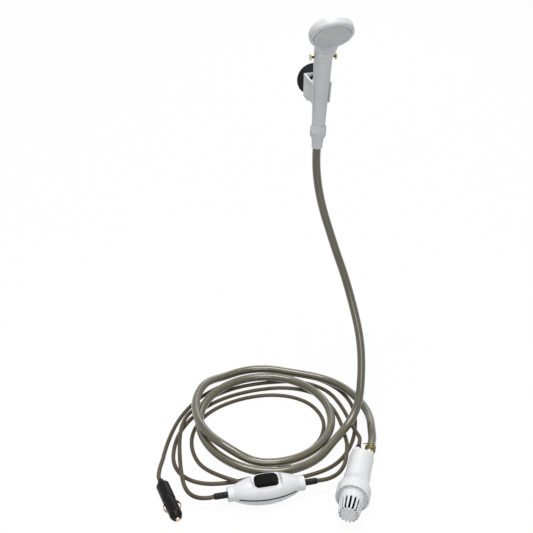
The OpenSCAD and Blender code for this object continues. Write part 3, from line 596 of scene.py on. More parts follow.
def seat(piece: Piece, body: Body, slot: Slot, *nodes: str) -> Piece:
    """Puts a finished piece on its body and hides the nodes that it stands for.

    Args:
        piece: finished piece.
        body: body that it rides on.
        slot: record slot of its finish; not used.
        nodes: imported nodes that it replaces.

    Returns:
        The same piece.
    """
    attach(piece, body.value)
    if nodes:
        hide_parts(*nodes)
    LOG.info("%s rides on %s", piece.name, body.value)
    return piece


def put(piece: Piece, finish: Finish, angle: float, body: Body, slot: Slot, node: str) -> Piece:
    """Dresses and smooths a shaped piece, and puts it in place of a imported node.

    Args:
        piece: shaped piece.
        finish: its finish.
        angle: least angle of a sharp edge in degrees.
        body: body that it rides on.
        slot: record slot of its finish.
        node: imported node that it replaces.

    Returns:
        The same piece.
    """
    return seat(smooth(dress(piece, finish), angle), body, slot, node)


# Frames


def shift(x: float, y: float, z: float) -> Matrix:
    """Move by x, y and z."""
    return Matrix.Translation((x, y, z))


def turn(axis: str, degrees: float) -> Matrix:
    """Turn about an axis."""
    return Matrix.Rotation(math.radians(degrees), 4, axis)


@dataclass(frozen=True)
class Frames:
    """Local frames of the sub-assemblies and the sizes that several of them use, in millimetres."""

    floor: float = -490.0
    seat_gap: float = 0.1
    handle_lean: float = 2.0
    handle_roll: float = 1.5
    handle_len: float = 112.0
    foot_r: float = 9.75
    top_r: float = 13.3
    cradle_at: float = 50.0
    cradle_mid: Point = (0.0, -40.0, -6.5)
    head_forward: float = 33.0
    head_rise: float = 26.0
    face_tilt: float = 41.0
    tail_drop: float = 35.0
    hose_d: float = 12.5
    body_r: float = 17.5
    collar_r: float = 23.5
    collar_at: float = 78.0
    shoulder: float = 4.0
    pump_at: Point = (0.0, -284.0)
    pump_yaw: float = -28.0
    gland: Point = (-7.5, 6.0)
    gland_len: float = 16.0
    spout: Point = (9.5, 4.0)
    switch_at: Point = (-151.0, -315.0)
    switch_yaw: float = -2.0
    switch_axis: float = 20.0
    switch_reach: float = 73.0
    plug_at: Point = (-287.2, -259.5)
    plug_yaw: float = 8.3
    plug_boot: float = 8.0
    grip_r: float = 9.4

    def handle_r(self, s: float) -> float:
        """Radius of the handle s above its foot."""
        return self.foot_r + (self.top_r - self.foot_r) * s / self.handle_len

    @property
    def wall(self) -> Matrix:
        """Frame of the suction cup, Z towards the viewer."""
        return turn("X", 90)

    @property
    def handle(self) -> Matrix:
        """Frame of the handle's foot.

        Returns:
            The frame, with Z up the handle.
        """
        lean = turn("Y", self.handle_roll) @ turn("X", self.handle_lean)
        foot = Vector(self.cradle_mid) - self.cradle_at * (lean @ Vector((0, 0, 1)))
        return shift(*foot) @ lean

    @property
    def head(self) -> Matrix:
        """Frame of the spray face, Z to the back of the head."""
        return self.handle @ shift(0, -self.head_forward, self.handle_len + self.head_rise) \
            @ turn("X", self.face_tilt - 90)

    @property
    def pump(self) -> Matrix:
        """Frame of the pump's rear face, tipped as the pump lies on its body and collar.

        Returns:
            The frame, with Z towards the strainer.
        """
        pitch = math.atan((self.collar_r - self.body_r) / (self.collar_at - self.shoulder))
        height = self.floor + self.seat_gap + self.body_r * math.cos(pitch) \
            - self.shoulder * math.sin(pitch)
        return shift(*self.pump_at, height) @ turn("Z", self.pump_yaw) @ turn("X", 90 - math.degrees(pitch))

    @property
    def switch(self) -> Matrix:
        """Frame of the switch on the floor, X along it."""
        return shift(*self.switch_at, self.floor) @ turn("Z", self.switch_yaw)

    @property
    def plug(self) -> Matrix:
        """Frame of the plug's grip, Z towards the tip."""
        height = self.floor + self.grip_r + self.seat_gap
        return shift(*self.plug_at, height) @ turn("Z", self.plug_yaw) @ turn("X", 90)


FRAMES = Frames()


# Cords


def curve_through(points: Sequence[Vector], steps: int = 10) -> list[Vector]:
    """Runs a smooth curve through points.

    Args:
        points: points that the curve meets.
        steps: pieces between two points.

    Returns:
        Points along the curve.
    """
    last = len(points) - 1
    out = []
    for i in range(last):
        a, b = points[max(i - 1, 0)], points[i]
        c, d = points[i + 1], points[min(i + 2, last)]
        for j in range(steps):
            t = j / steps
            out.append(b + 0.5 * t * (c - a + t * (2 * a - 5 * b + 4 * c - d + t * (3 * (b - c) + d - a))))
    return out + [points[last].copy()]


def evenly(path: Sequence[Vector], step: float) -> list[Vector]:
    """Spaces a path's points evenly.

    Args:
        path: points along the path.
        step: wanted distance between points.

    Returns:
        The same path with even points.
    """
    lengths = [0.0]
    for a, b in zip(path, path[1:]):
        lengths.append(lengths[-1] + (b - a).length)
    count = round(lengths[-1] / step)
    out, i = [], 0
    for k in range(count + 1):
        want = lengths[-1] * k / count
        while i < len(path) - 2 and lengths[i + 1] < want:
            i += 1
        span = lengths[i + 1] - lengths[i]
        out.append(path[i].lerp(path[i + 1], (want - lengths[i]) / span if span else 0.0))
    return out


def relaxed(path: Sequence[Vector], rounds: int, keep: int) -> list[Vector]:
    """Eases small kinks out of a path.

    Args:
        path: evenly spaced points.
        rounds: passes over the path.
        keep: points at each end that stay.

    Returns:
        The eased path.
    """
    out = [p.copy() for p in path]
    for _ in range(rounds):
        mid = [(a + 2 * b + c) / 4 for a, b, c in zip(out, out[1:], out[2:])]
        out[keep:-keep] = mid[keep - 1:len(mid) - keep + 1]
    return out


def ease(t: float) -> float:
    """Smooth step from zero to one."""
    t = min(1.0, max(0.0, t))
    return t * t * (3 - 2 * t)


@dataclass
class HoseAndLeads:
    """The hose from the hand shower to the pump, and the power leads.

    Points of a route are x, y and the height over the floor in millimetres. `bend_from` is in metres.
    """

    hose_sides: int = 24
    hose_lie: float = 13.6
    hose_pitch: float = 4.0
    lead_d: float = 6.0
    lead_sides: int = 16
    lead_pitch: float = 3.0
    loop_rx: float = 101.0
    loop_ry: float = 107.0
    loop_step: float = 21.0
    loop_grow: float = 1.5
    coil_mid: tuple[float, float] = (-113.0, -176.0)
    coil_from: float = -50.0
    coil_sweep: float = 610.0
    coil_turn: int = 3
    left_rise: float = 2.6
    left_at: float = 125.0
    left_half: float = 75.0
    crossing_at: float = 490.0
    crossing_half: float = 38.0
    crossing_ramp: float = 36.0
    crossing_gap: float = 1.3
    straight: float = 14.0
    spout_len: float = 27.0
    spout_collar: float = 2.0
    lead_straight: float = 9.0
    into_switch: Point = (-8.0, 0.1, -0.3)
    out_of_switch: Point = (10.0, -0.3, -0.4)
    bend_from: Point = (0.045, -0.142, -0.392)
    rise: tuple[Point, ...] = (
        (-31, -241, 13.6), (-13, -225, 14.5), (3, -212, 18), (16, -201, 26), (27, -189, 38),
        (35, -174, 55), (41, -158, 75), (45, -142, 98), (46, -126, 122), (44, -109, 147), (40, -92.5, 174),
        (34, -77.5, 203), (25, -64.5, 235), (16, -54.5, 268), (7, -46.5, 302), (1, -41.5, 333),
        (-2, -38, 361))
    run: tuple[Point, ...] = (
        (-42, -57, 13.6), (-17, -71.5, 13.6), (7, -89, 13.6), (25.5, -112, 13.6), (38, -140, 13.6),
        (44, -170, 13.6), (43, -198, 15), (36, -224, 18.5))
    pump_way: tuple[Point, ...] = (
        (10, -246, 18.8), (11.5, -232, 15.2), (12, -216, 11.6), (13, -199, 8.2), (14.5, -180, 4.8),
        (15, -160, 3.2), (13, -138, 3.2), (8, -116, 3.2), (-3, -96, 3.2), (-20, -80, 3.2), (-42, -69, 3.2),
        (-68, -63, 3.2), (-98, -60, 3.2), (-128, -61, 3.2), (-156, -67, 3.2), (-182, -78, 3.2),
        (-206, -95, 4), (-226, -117, 7.6), (-239, -143, 9.8), (-247, -171, 9.8), (-252, -199, 9.4),
        (-255.5, -226, 9.4), (-257.5, -250, 10), (-258, -270, 11.6), (-256, -287, 14.2),
        (-250.5, -300.5, 16.8), (-242, -309, 18.8))
    plug_way: tuple[Point, ...] = (
        (-56, -315, 18.6), (-43.5, -307.5, 17), (-32, -295, 15.2), (-22.5, -279, 13.4), (-15, -261, 11.8),
        (-8.5, -243, 9.3), (-3.5, -219, 4.8), (0, -194, 3.2), (1, -168, 3.2), (-2, -142, 3.2),
        (-11, -118, 3.2), (-26, -100, 3.2), (-46, -87, 3.2), (-70, -79, 3.2), (-98, -76, 3.2),
        (-126, -77, 3.2), (-154, -82, 3.2), (-181, -92, 3.2), (-206, -108, 3.2), (-229, -130, 3.2),
        (-247, -156, 3.2), (-258, -184, 3.2), (-263, -211, 3.2), (-259, -236, 3.2), (-245, -256, 3.2),
        (-224, -268, 3.2), (-198, -273, 3.2), (-170, -273, 3.2), (-142, -269, 3.2), (-114, -261, 3.2),
        (-88, -250, 3.2), (-64, -236, 3.2), (-44, -219, 3.2), (-30, -197, 3.2), (-24, -174, 3.2),
        (-26, -150, 3.2), (-35, -128, 3.2), (-52, -110, 3.2), (-74, -98, 3.2), (-100, -92, 3.2),
        (-128, -92, 3.2), (-155, -97, 3.2), (-180, -107, 3.2), (-202, -123, 3.2), (-219, -145, 3.2),
        (-229, -170, 3.2), (-232, -196, 3.2), (-229, -221, 4.2), (-221, -243, 7.6), (-207, -262, 10.2),
        (-189, -277, 10), (-167, -286, 6), (-142, -289, 3.5), (-112, -289, 3.2), (-78, -287, 3.2),
        (-50, -281, 3.2), (-28, -269, 3.2), (-10, -252, 3.2), (5, -231, 3.2), (17, -207, 3.2),
        (26, -182, 3.2), (31, -156, 3.2), (30, -131, 3.2), (23, -107, 3.2), (10, -85, 3.2), (-8, -67, 3.2),
        (-30, -54, 3.2), (-55, -46, 3.2), (-83, -42, 3.2), (-112, -42, 3.2), (-141, -46, 3.2),
        (-169, -56, 3.2), (-195, -71, 3.2), (-218, -92, 3.2), (-239, -118, 3.2), (-256, -148, 3.2),
        (-269, -178, 3.6), (-278, -204, 5), (-285, -224, 7.8))
    hose: Piece | None = None
    pump_lead: Piece | None = None
    plug_lead: Piece | None = None
    paths: dict[str, list[Vector]] = field(default_factory=dict)

    def coil_at(self, w: float) -> Vector:
        """Middle of the hose in its loops, raised on the left and where it crosses itself.

        Args:
            w: degrees round the loops.

        Returns:
            The point.
        """
        a, grown = math.radians(self.coil_from - w), self.loop_grow * w / 360
        swell = self.left_rise * (1 - ease(abs(w % 360 - self.left_at) / self.left_half))
        past = abs(w - self.crossing_at) - self.crossing_half
        hump = (FRAMES.hose_d + self.crossing_gap) * (1 - ease(past / self.crossing_ramp))
        return Vector((self.coil_mid[0] + (self.loop_rx + grown) * math.cos(a),
                       self.coil_mid[1] + self.loop_step * w / 360 + (self.loop_ry + grown) * math.sin(a),
                       FRAMES.floor + self.hose_lie + swell + hump))

    def grounded(self, points: Sequence[Point]) -> list[Vector]:
        """Points given by their height over the floor."""
        return [Vector((x, y, FRAMES.floor + z)) for x, y, z in points]

    def hose_path(self) -> list[Vector]:
        """Runs the hose from the hand shower's tail to the pump's outlet collar.

        Returns:
            The middle of the hose.
        """
        tail, above = FRAMES.handle @ Vector((0, 0, -FRAMES.tail_drop)), FRAMES.handle.to_3x3().col[2]
        spout = [FRAMES.pump @ Vector((*FRAMES.spout, z))
                 for z in (-self.spout_len - self.straight, -self.spout_len, -self.spout_collar)]
        below = tail - self.straight * above
        up = curve_through([self.coil_at(0)] + self.grounded(self.rise) + [below, tail])
        loops = [self.coil_at(w) for w in range(self.coil_turn, int(self.coil_sweep), self.coil_turn)]
        off = curve_through([self.coil_at(self.coil_sweep)] + self.grounded(self.run) + spout)
        return relaxed(evenly(up[::-1] + loops + off, self.hose_pitch), rounds=6, keep=4)

    def lead_path(self, way: Sequence[Vector]) -> list[Vector]:
        """Middle of a lead through the points of its way."""
        return relaxed(evenly(curve_through(way), self.lead_pitch), rounds=3, keep=3)

    def pump_lead_path(self) -> list[Vector]:
        """Runs the lead from the pump's gland to the switch.

        Returns:
            The middle of the lead.
        """
        start, back = FRAMES.pump @ Vector((*FRAMES.gland, -FRAMES.gland_len)), FRAMES.pump.to_3x3().col[2]
        end = FRAMES.switch @ Vector((-FRAMES.switch_reach, 0, FRAMES.switch_axis))
        return self.lead_path([start, start - self.lead_straight * back] + self.grounded(self.pump_way)
                              + [end + Vector(self.into_switch), end])

    def plug_lead_path(self) -> list[Vector]:
        """Runs the lead from the switch to the plug.

        Returns:
            The middle of the lead.
        """
        start = FRAMES.switch @ Vector((FRAMES.switch_reach, 0, FRAMES.switch_axis))
        ends = [FRAMES.plug @ Vector((0, 0, -FRAMES.plug_boot - z)) for z in (self.lead_straight, 0)]
        return self.lead_path([start, start + Vector(self.out_of_switch)]
                              + self.grounded(self.plug_way) + ends)

    def lead(self, name: str, key: str) -> Piece:
        """Sweeps one lead and puts it on the set.

        Args:
            name: name of the piece.
            key: key of its path.

        Returns:
            The lead.
        """
        cord = sweep(name, self.paths[key], self.lead_d / 2, self.lead_sides)
        return put(cord, LEAD_PVC, 40, Body.SET, Slot.PVC, f"{key}_lead")

    def build(self) -> None:
        """Sweeps the three cords and dresses them, and puts the two leads on the set."""
        self.paths = {"hose": self.hose_path(), "pump": self.pump_lead_path(), "plug": self.plug_lead_path()}
        self.hose = sweep("hose", self.paths["hose"], FRAMES.hose_d / 2, self.hose_sides)
        smooth(dress(self.hose, HOSE_PVC), 40)
        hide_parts("hose_riser", "hose_coil", "hose_pump_run", "hose_cuff")
        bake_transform(self.hose)
        LOG.info("hose bends from %s to %s", Body.SET.value, Body.HANDSET.value)
        self.pump_lead = self.lead("pump_lead_cord", "pump")
        self.plug_lead = self.lead("plug_lead_cord", "plug")


# Holder


@dataclass
class Holder:
    """Suction cup and bracket."""

    cup_r: float = 23.5
    cup_depth: float = 11.0
    neck_r: float = 9.0
    button_r: float = 11.6
    plate_back: float = 11.3
    plate_t: float = 3.0
    plate_w: float = 34.0
    plate_top: float = 13.0
    plate_bottom: float = -20.0
    arm_t: float = 2.6
    arm_sink: float = 0.45
    arm_short: float = 1.3
    reach: float = 40.0
    cradle_h: float = 30.0
    cradle_t: float = 2.8
    wing: float = 5.0
    gap: float = 0.3
    bore_gap: float = 0.08
    bore_span: tuple[float, float] = (5.0, 20.0)
    room: tuple[float, float] = (20.0, 80.0)
    mouth_from: float = 0.07
    mouth_depth: float = 47.0
    cut_half: float = 40.0
    cut_front: float = 60.0
    cut_over: float = 10.0
    edge: float = 0.6

    def build_cup(self) -> None:
        """Turns the cup with its dished back, thin lip and button."""
        front = self.plate_back + self.plate_t + self.gap
        profile = rounded([
            (0, 2.4), (11, 2.1), (18.5, 1.0), (21.6, 0.0, 0.4), (self.cup_r, 0.0, 0.3),
            (self.cup_r, 0.9, 0.4), (22.2, 1.5, 0.8), (18.2, 4.9, 6), (13.8, 8.6, 4), (11.8, 10.6, 1.2),
            (10.5, self.cup_depth, 0.4), (self.neck_r, self.cup_depth), (self.neck_r, front),
            (self.button_r, front, 0.3), (self.button_r, front + 3.4, 1.4), (9.4, front + 4.0, 1.0),
            (0, front + 4.0)])
        cup = lathe("suction_cup_rubber", profile, FRAMES.wall, 128)
        put(cup, RUBBER, 50, Body.CUP, Slot.RUBBER, "suction_cup")

    def build_bracket(self) -> None:
        """Joins plate, arms and cradle, and rounds their edges."""
        half, back = self.plate_w / 2, -self.plate_back
        low, high = FRAMES.cradle_at - self.cradle_h / 2, FRAMES.cradle_at + self.cradle_h / 2
        bracket = block("holder_bracket_moulding", (-half, back - self.plate_t, self.plate_bottom),
                        (half, back, self.plate_top))
        front_x = FRAMES.handle_r(FRAMES.cradle_at) + self.cradle_t - self.arm_sink
        front_y = self.arm_short - self.reach
        sideways = turn("Z", 90) @ turn("X", 90)
        for side in (-1, 1):
            plan = [(side * x, y) for x, y in ((half - self.arm_t, back), (half, back), (front_x, front_y),
                                               (front_x - self.arm_t, front_y))]
            arm = prism("arm", plan, self.plate_bottom - self.cut_over, self.plate_top + self.cut_over)
            outline = [(back, self.plate_top), (back, self.plate_bottom), (-0.6 * self.reach, -23.0),
                       (-self.reach, -20.4), (-self.reach, 7.3)]
            carve(arm, [prism("arm_side", outline, -self.cut_half, self.cut_half, sideways)], Cut.CROSS)
            carve(bracket, [arm], Cut.JOIN)
        wall = self.gap + self.cradle_t
        cradle = lathe("cradle", [(0, low), (FRAMES.handle_r(low) + wall, low),
                                  (FRAMES.handle_r(high) + wall, high), (0, high)], FRAMES.handle, 90)
        carve(bracket, [cradle], Cut.JOIN)
        start, end = self.room
        low_r, high_r = FRAMES.handle_r(start) + self.gap, FRAMES.handle_r(end) + self.gap
        room = lathe("room", [(0, start), (low_r, start), (high_r, end), (0, end)], FRAMES.handle, 96)
        mouth = prism("mouth", [(-low_r, start), (low_r, start), (high_r, end), (-high_r, end)],
                      self.mouth_from, self.mouth_depth, FRAMES.handle @ turn("X", 90))
        open_front = block("front", (-self.cut_half, -self.cut_front, 0),
                           (self.cut_half, -self.wing, FRAMES.handle_len), FRAMES.handle)
        bore_r, (low, high) = self.neck_r + self.bore_gap, self.bore_span
        bore = lathe("bore", [(0, low), (bore_r, low), (bore_r, high), (0, high)], FRAMES.wall, 96)
        carve(bracket, [room, mouth, open_front, bore])
        put(soften(bracket, self.edge), ABS_WHITE, 40, Body.SET, Slot.ABS, "holder_bracket")

    def build(self) -> None:
        """Builds the holder."""
        self.build_cup()
        self.build_bracket()


# Hand shower


@dataclass
class HandShower:
    """Handle, head, spray plate, studs, nut and tail."""

    head_r: float = 31.0
    head_t: float = 24.0
    rim_h: float = 9.0
    handle_top: float = 113.2
    spray_r: float = 25.5
    recess: float = 1.6
    plate_t: float = 3.0
    proud: float = 0.5
    neck_sides: int = 48
    crease: float = 4.6
    crease_at: float = 109.6
    crease_half: float = 11.0
    crease_above: float = 1.3
    crease_below: float = 2.4
    crease_zone: tuple[float, float] = (94.0, 116.0)
    crease_front: float = -3.0
    stud_at: float = 101.0
    stud_head_r: float = 4.8
    nut_r: float = 11.8
    nut_h: float = 17.5
    nut_gap: float = 0.3
    ribs: int = 34
    rib_steps: int = 8
    rib_sharp: float = 0.7
    rib_sink: float = 0.25
    jets: tuple[tuple[float, int], ...] = ((7.0, 8), (12.5, 14), (18.0, 20))
    voxel: float = 0.8

    def build_shell(self) -> None:
        """Fuses handle, neck and head into one soft-edged moulding with its spray recess."""
        handle, head = FRAMES.handle, FRAMES.head
        dome = self.head_t - self.rim_h
        crown = [(self.head_r * math.cos(math.radians(a)), self.rim_h + dome * math.sin(math.radians(a)))
                 for a in range(0, 90, 6)]
        shell = lathe("hand_shower_shell", rounded([
            (0, -8), (8.1, -8, 0.5), (8.1, 0), (FRAMES.foot_r, 0, 0.8), (FRAMES.top_r, 104, 20),
            (FRAMES.top_r, self.handle_top, 1.2), (0, self.handle_top + 0.4)]), handle, 96)
        disc = lathe("disc", rounded([(0, 0), (self.head_r, 0, 4.5), *crown, (0, self.head_t)]), head, 128)
        # Frame, half width, half depth and heights of the rings that the neck spans.
        hoops = ((handle, 13.1, 12.6, (98, 113)), (head, 19.5, 19.5, (7, 16)))
        ring = [place @ Vector((across * math.cos(a), deep * math.sin(a), z))
                for place, across, deep, heights in hoops for z in heights
                for a in (math.tau * k / self.neck_sides for k in range(self.neck_sides))]
        neck = solid("neck", ring, [])
        work = bmesh.new()
        work.from_mesh(neck.data)
        bmesh.ops.convex_hull(work, input=work.verts)
        work.to_mesh(neck.data)
        work.free()
        join(shell, [disc, neck])
        fuse = shell.modifiers.new("fuse", "REMESH")
        fuse.mode, fuse.voxel_size = "VOXEL", self.voxel * MM
        even = shell.modifiers.new("even", "SMOOTH")
        even.factor, even.iterations = 0.5, 10
        settle(shell)
        self.press_crease(shell)
        seat_r, depth = self.spray_r + 0.1, self.recess + self.plate_t + 0.4
        room = lathe("room", [
            (0, -7), (seat_r + 1.8, -7), (seat_r + 1.3, -0.1), (seat_r + 0.5, 0.3), (seat_r + 0.1, 0.9),
            (seat_r, 1.6), (seat_r, depth), (23, depth), (23, 9), (14, 14), (0, 14)], head, 128)
        carve(shell, [room])
        put(shell, ABS_WHITE, 50, Body.HANDSET, Slot.ABS, "handset_shell")

    def press_crease(self, shell: Piece) -> None:
        """Presses the crease across the front of the neck, steep above and shallow below.

        Args:
            shell: fused moulding.
        """
        back = FRAMES.handle.inverted()
        inward = FRAMES.handle.to_3x3() @ Vector((0, 1, 0)) * MM
        bottom, top = self.crease_zone
        for vertex in shell.data.vertices:
            local = back @ (vertex.co / MM)
            if local.y > self.crease_front or not bottom < local.z < top:
                continue
            rise = local.z - self.crease_at
            across = max(0.0, 1 - (local.x / self.crease_half) ** 4)
            width = self.crease_above if rise > 0 else self.crease_below
            vertex.co += inward * self.crease * across * math.exp(-(rise / width) ** 2)

    def build_plate(self) -> None:
        """Turns the spray plate and sets its low nozzles on it."""
        top, back, r = -self.proud, self.recess + self.plate_t, self.spray_r - 0.3
        plate = lathe("spray_plate_disc", rounded([
            (0, top), (20.4, top, 0.4), (21.2, top + 0.5, 0.4), (22.0, top, 0.4), (r, top, 0.35), (r, back),
            (0, back)]), FRAMES.head, 128)
        nozzle = [(0, top), (0.4, top), (0.4, top - 0.5), (0.8, top - 0.5), (1.0, top - 0.4),
                  (1.5, top + 0.4), (0, top + 0.4)]
        places = [FRAMES.head @ turn("Z", 360 * k / count) @ shift(radius, 0, 0)
                  for radius, count in self.jets for k in range(count)]
        join(plate, [lathe("nozzle", nozzle, place, 20) for place in places])
        # The plate's greyer finish is painted shade on the face that looks down.
        put(plate, ABS_PLATE_PAINTED_SHADE, 35, Body.HANDSET, Slot.ABS, "spray_plate")

    def build_studs(self) -> None:
        """Turns the two mushroom-headed studs with their dark shanks."""
        surface = FRAMES.handle_r(self.stud_at)
        low, neck = surface - 3.9, surface + 4.6
        pieces = []
        for side in (-1, 1):
            place = FRAMES.handle @ shift(0, 0, self.stud_at) @ turn("Y", 90 * side)
            shank = lathe("shank", [(0, low), (1.6, low), (1.6, neck - 0.2), (0, neck - 0.2)], place, 32)
            cap = lathe("cap", rounded([
                (0, neck - 0.2), (2.4, neck - 0.2, 0.3), (2.6, neck + 0.1),
                (self.stud_head_r, neck + 0.2, 0.4), (self.stud_head_r, neck + 1.2, 0.5),
                (3.4, neck + 2.1, 1.5), (0, neck + 2.6)]), place, 48)
            pieces += [dress(shank, DARK_SHANK_STEEL), dress(cap, BRASS)]
        studs = join(pieces[0], pieces[1:])
        studs.name = "brass_hanger_studs"
        seat(smooth(studs, 40), Body.HANDSET, Slot.BRASS, "hanger_studs")

    def build_nut(self) -> None:
        """Shapes the finely ribbed nut between its two plain rims."""
        count = self.ribs * self.rib_steps
        bottom, top = -self.nut_h, -self.nut_gap
        # Radius, height and whether the row carries the ribs.
        rows = [(8.6, top, 0), (10.2, top, 0), (11.0, top - 0.2, 0), (11.3, top - 0.7, 0),
                (11.3, top - 2.0, 0), (11.1, top - 2.4, 0), (11.3, top - 2.9, 1), (11.3, -9, 1),
                (11.2, bottom + 2.6, 1), (11.0, bottom + 2.1, 0), (11.2, bottom + 1.7, 0),
                (11.2, bottom + 0.7, 0), (10.8, bottom + 0.1, 0), (10.0, bottom, 0), (7.0, bottom, 0)]
        points, faces = [], []
        for r, z, ribbed in rows:
            for k in range(count):
                wave = 0.5 + 0.5 * math.cos(math.tau * k / self.rib_steps)
                rib = (self.nut_r - r) * wave ** self.rib_sharp - self.rib_sink * (1 - wave)
                reach = r + ribbed * rib
                a = math.tau * k / count
                points.append((reach * math.cos(a), reach * math.sin(a), z))
        for i in range(len(rows)):
            below = (i + 1) % len(rows)
            for k in range(count):
                on = (k + 1) % count
                faces.append((i * count + k, i * count + on, below * count + on, below * count + k))
        nut = solid("ribbed_hose_nut", points, faces, FRAMES.handle)
        put(nut, ABS_WHITE, 60, Body.NUT, Slot.ABS, "hose_nut")

    def build_tail(self) -> None:
        """Turns the tapered tail with its bead at the hose."""
        top, end = -self.nut_h - self.nut_gap, -FRAMES.tail_drop
        profile = rounded([(4.0, -10), (6.8, -10), (6.8, top), (9.3, top, 0.5), (9.3, top - 2.2, 0.6),
                           (9.0, top - 2.8, 0.5), (7.9, end + 3.0, 1), (8.0, end + 1.2, 0.6),
                           (7.6, end, 0.5), (4.0, end)])
        tail = lathe("hose_tail_moulding", profile, FRAMES.handle, 96, ring=True)
        put(tail, ABS_WHITE, 45, Body.HANDSET, Slot.ABS, "hose_tail")

    def build(self) -> None:
        """Builds the hand shower."""
        self.build_shell()
        self.build_plate()
        self.build_studs()
        self.build_nut()
        self.build_tail()


# Pump


@dataclass
class Pump:
    """Casing, cap, gland, hose fixings and strainer of the submersible pump."""

    cap_t: float = 5.0
    collar_end: float = 95.0
    casing_bore: float = 15.3
    strainer_r: float = 17.0
    strainer_bore: float = 17.3
    strainer_inner: float = 15.0
    strainer_floor: float = 2.0
    strainer_tip_r: float = 13.8
    strainer_out: float = 33.5
    strainer_root: float = 4.0
    skirt: float = 78.3
    slots: int = 16
    slot_w: float = 3.1
    slot_from: float = 107.0
    slot_r: float = 10.21
    slot_out: float = 22.0
    slot_cut: float = 40.0
    near: float = 0.1
    inward: float = 0.6
    wire_r: float = 0.8
    wire_gap: float = 0.2
    clip_turns: int = 3
    clip_steps: int = 40
    clip_open: float = 2.6
    clip_from: float = -8.6
    clip_turn_at: float = 115.0

    def build_casing(self) -> None:
        """Turns the casing with its seam, flare and grooved collar."""
        end, body, collar = self.collar_end, FRAMES.body_r, FRAMES.collar_r
        profile = rounded([
            (self.casing_bore, self.cap_t), (body, self.cap_t, 0.25), (body, 47.6, 0.6),
            (body + 0.75, 48.6, 0.5), (body + 0.8, 61, 14), (collar, FRAMES.collar_at, 9),
            (collar, end, 1.3), (21.4, end, 0.6), (21.4, end - 4, 0.6), (18.6, end - 4, 0.6),
            (18.6, end, 0.4), (self.strainer_bore, end, 0.4), (self.strainer_bore, 75.2),
            (self.casing_bore, 75)], 6)
        casing = lathe("pump_casing_moulding", profile, FRAMES.pump, 128, ring=True)
        put(casing, ABS_WHITE, 50, Body.SET, Slot.ABS, "pump_casing")

    def build_cap(self) -> None:
        """Joins the rounded cap, the gland boss and the outlet collar."""
        cap = lathe("pump_cap_moulding", rounded([
            (0, 0), (13.6, 0, 1.6), (FRAMES.body_r, 4.2, 3.2), (FRAMES.body_r, self.cap_t - 0.15, 0.1),
            (15.2, self.cap_t), (15.2, 11), (0, 11)], 6), FRAMES.pump, 128)
        gland = FRAMES.pump @ shift(*FRAMES.gland, 0)
        boss = lathe("boss", rounded([(0, -5), (6.6, -5, 0.7), (7.4, -3.6, 0.8), (7.4, 2), (0, 2)]),
                     gland, 64)
        collar = lathe("collar", rounded([(0, -2), (7.0, -2, 0.5), (7.0, 2), (0, 2)]),
                       FRAMES.pump @ shift(*FRAMES.spout, 0), 64)
        carve(cap, [boss, collar], Cut.JOIN)
        carve(cap, [lathe("bore", [(0, -6), (3.2, -6), (3.2, 6), (0, 6)], gland, 48)])
        put(cap, ABS_WHITE, 45, Body.SET, Slot.ABS, "pump_end_cap")

    def build_gland(self) -> None:
        """Turns the stepped rubber gland."""
        gland = lathe("rubber_cable_gland", rounded([
            (0, -FRAMES.gland_len), (3.7, -FRAMES.gland_len, 0.4), (4.0, -12.2, 0.3), (4.5, -11.9, 0.3),
            (4.5, -10.2, 0.3), (4.2, -9.9, 0.2), (4.7, -9.4, 0.3), (4.9, -5, 0.2), (3.1, -5), (3.1, 5),
            (0, 5)]), FRAMES.pump @ shift(*FRAMES.gland, 0), 48)
        put(gland, RUBBER, 45, Body.SET, Slot.RUBBER, "cable_gland")

    def build_fixings(self) -> None:
        """Winds the wire clip and turns the bright band at the outlet."""
        place = FRAMES.pump @ shift(*FRAMES.spout, 0)
        radius, pitch = FRAMES.hose_d / 2 + self.wire_r + self.wire_gap, 2 * self.wire_r + self.clip_open
        top = self.clip_turns * pitch
        low = self.clip_from - top
        # How far each tang stands out and aside, from its tip inwards.
        tang = [(0.5, 9.0), (0.15, 6.5), (0.0, 4.0)]
        path = [Vector((radius + out, -away, top)) for out, away in tang]
        for k in range(self.clip_turns * self.clip_steps + 1):
            a, drop = math.tau * k / self.clip_steps, pitch * k / self.clip_steps
            path.append(Vector((radius * math.cos(a), radius * math.sin(a), top - drop)))
        path += [Vector((radius + out, away, 0)) for out, away in reversed(tang)]
        clip = sweep("brass_hose_clip", path, self.wire_r, 12,
                     place @ shift(0, 0, low) @ turn("Z", self.clip_turn_at))
        put(clip, BRASS_WIRE, 60, Body.SET, Slot.BRASS, "hose_clip")
        band = lathe("brass_ferrule", rounded([
            (6.35, -7), (6.9, -7, 0.2), (7.15, -6.6, 0.2), (7.0, -6.1, 0.2), (7.0, -2.9, 0.2),
            (7.15, -2.4, 0.2), (6.9, -2, 0.2), (6.35, -2)], 4), place, 64, ring=True)
        put(band, BRASS, 50, Body.SET, Slot.BRASS, "hose_ferrule")

    def build_strainer(self) -> None:
        """Turns the tapered strainer, cuts its slots through to the rim and paints shade on its inside."""
        end = self.collar_end + self.strainer_out
        root, inside = self.collar_end + self.strainer_root, end - self.strainer_floor
        profile = rounded([
            (0, end - 1.3), (1.0, end - 1.3), (1.7, end, 0.2), (self.strainer_tip_r, end, 2.2),
            (self.strainer_r, root, 6), (self.strainer_r, self.skirt, 0.3), (self.strainer_inner, self.skirt),
            (self.strainer_inner, root), (self.strainer_tip_r - 2, inside), (0, inside)], 8)
        strainer = lathe("slotted_strainer", profile, FRAMES.pump, 144)
        outline = pill(self.slot_cut, self.slot_w, self.slot_w / 2 - 0.01)
        for k in range(self.slots):
            place = FRAMES.pump @ turn("Z", 360 * k / self.slots) \
                @ shift(0, 0, self.slot_from + self.slot_cut / 2) @ turn("Y", 90)
            carve(strainer, [prism("slot", outline, self.slot_r, self.slot_out, place)])
        dress(strainer, ABS_WHITE)
        # The second slot holds the painted shade of the strainer's inside.
        strainer.data.materials.append(ABS_PAINTED_SHADE.material())
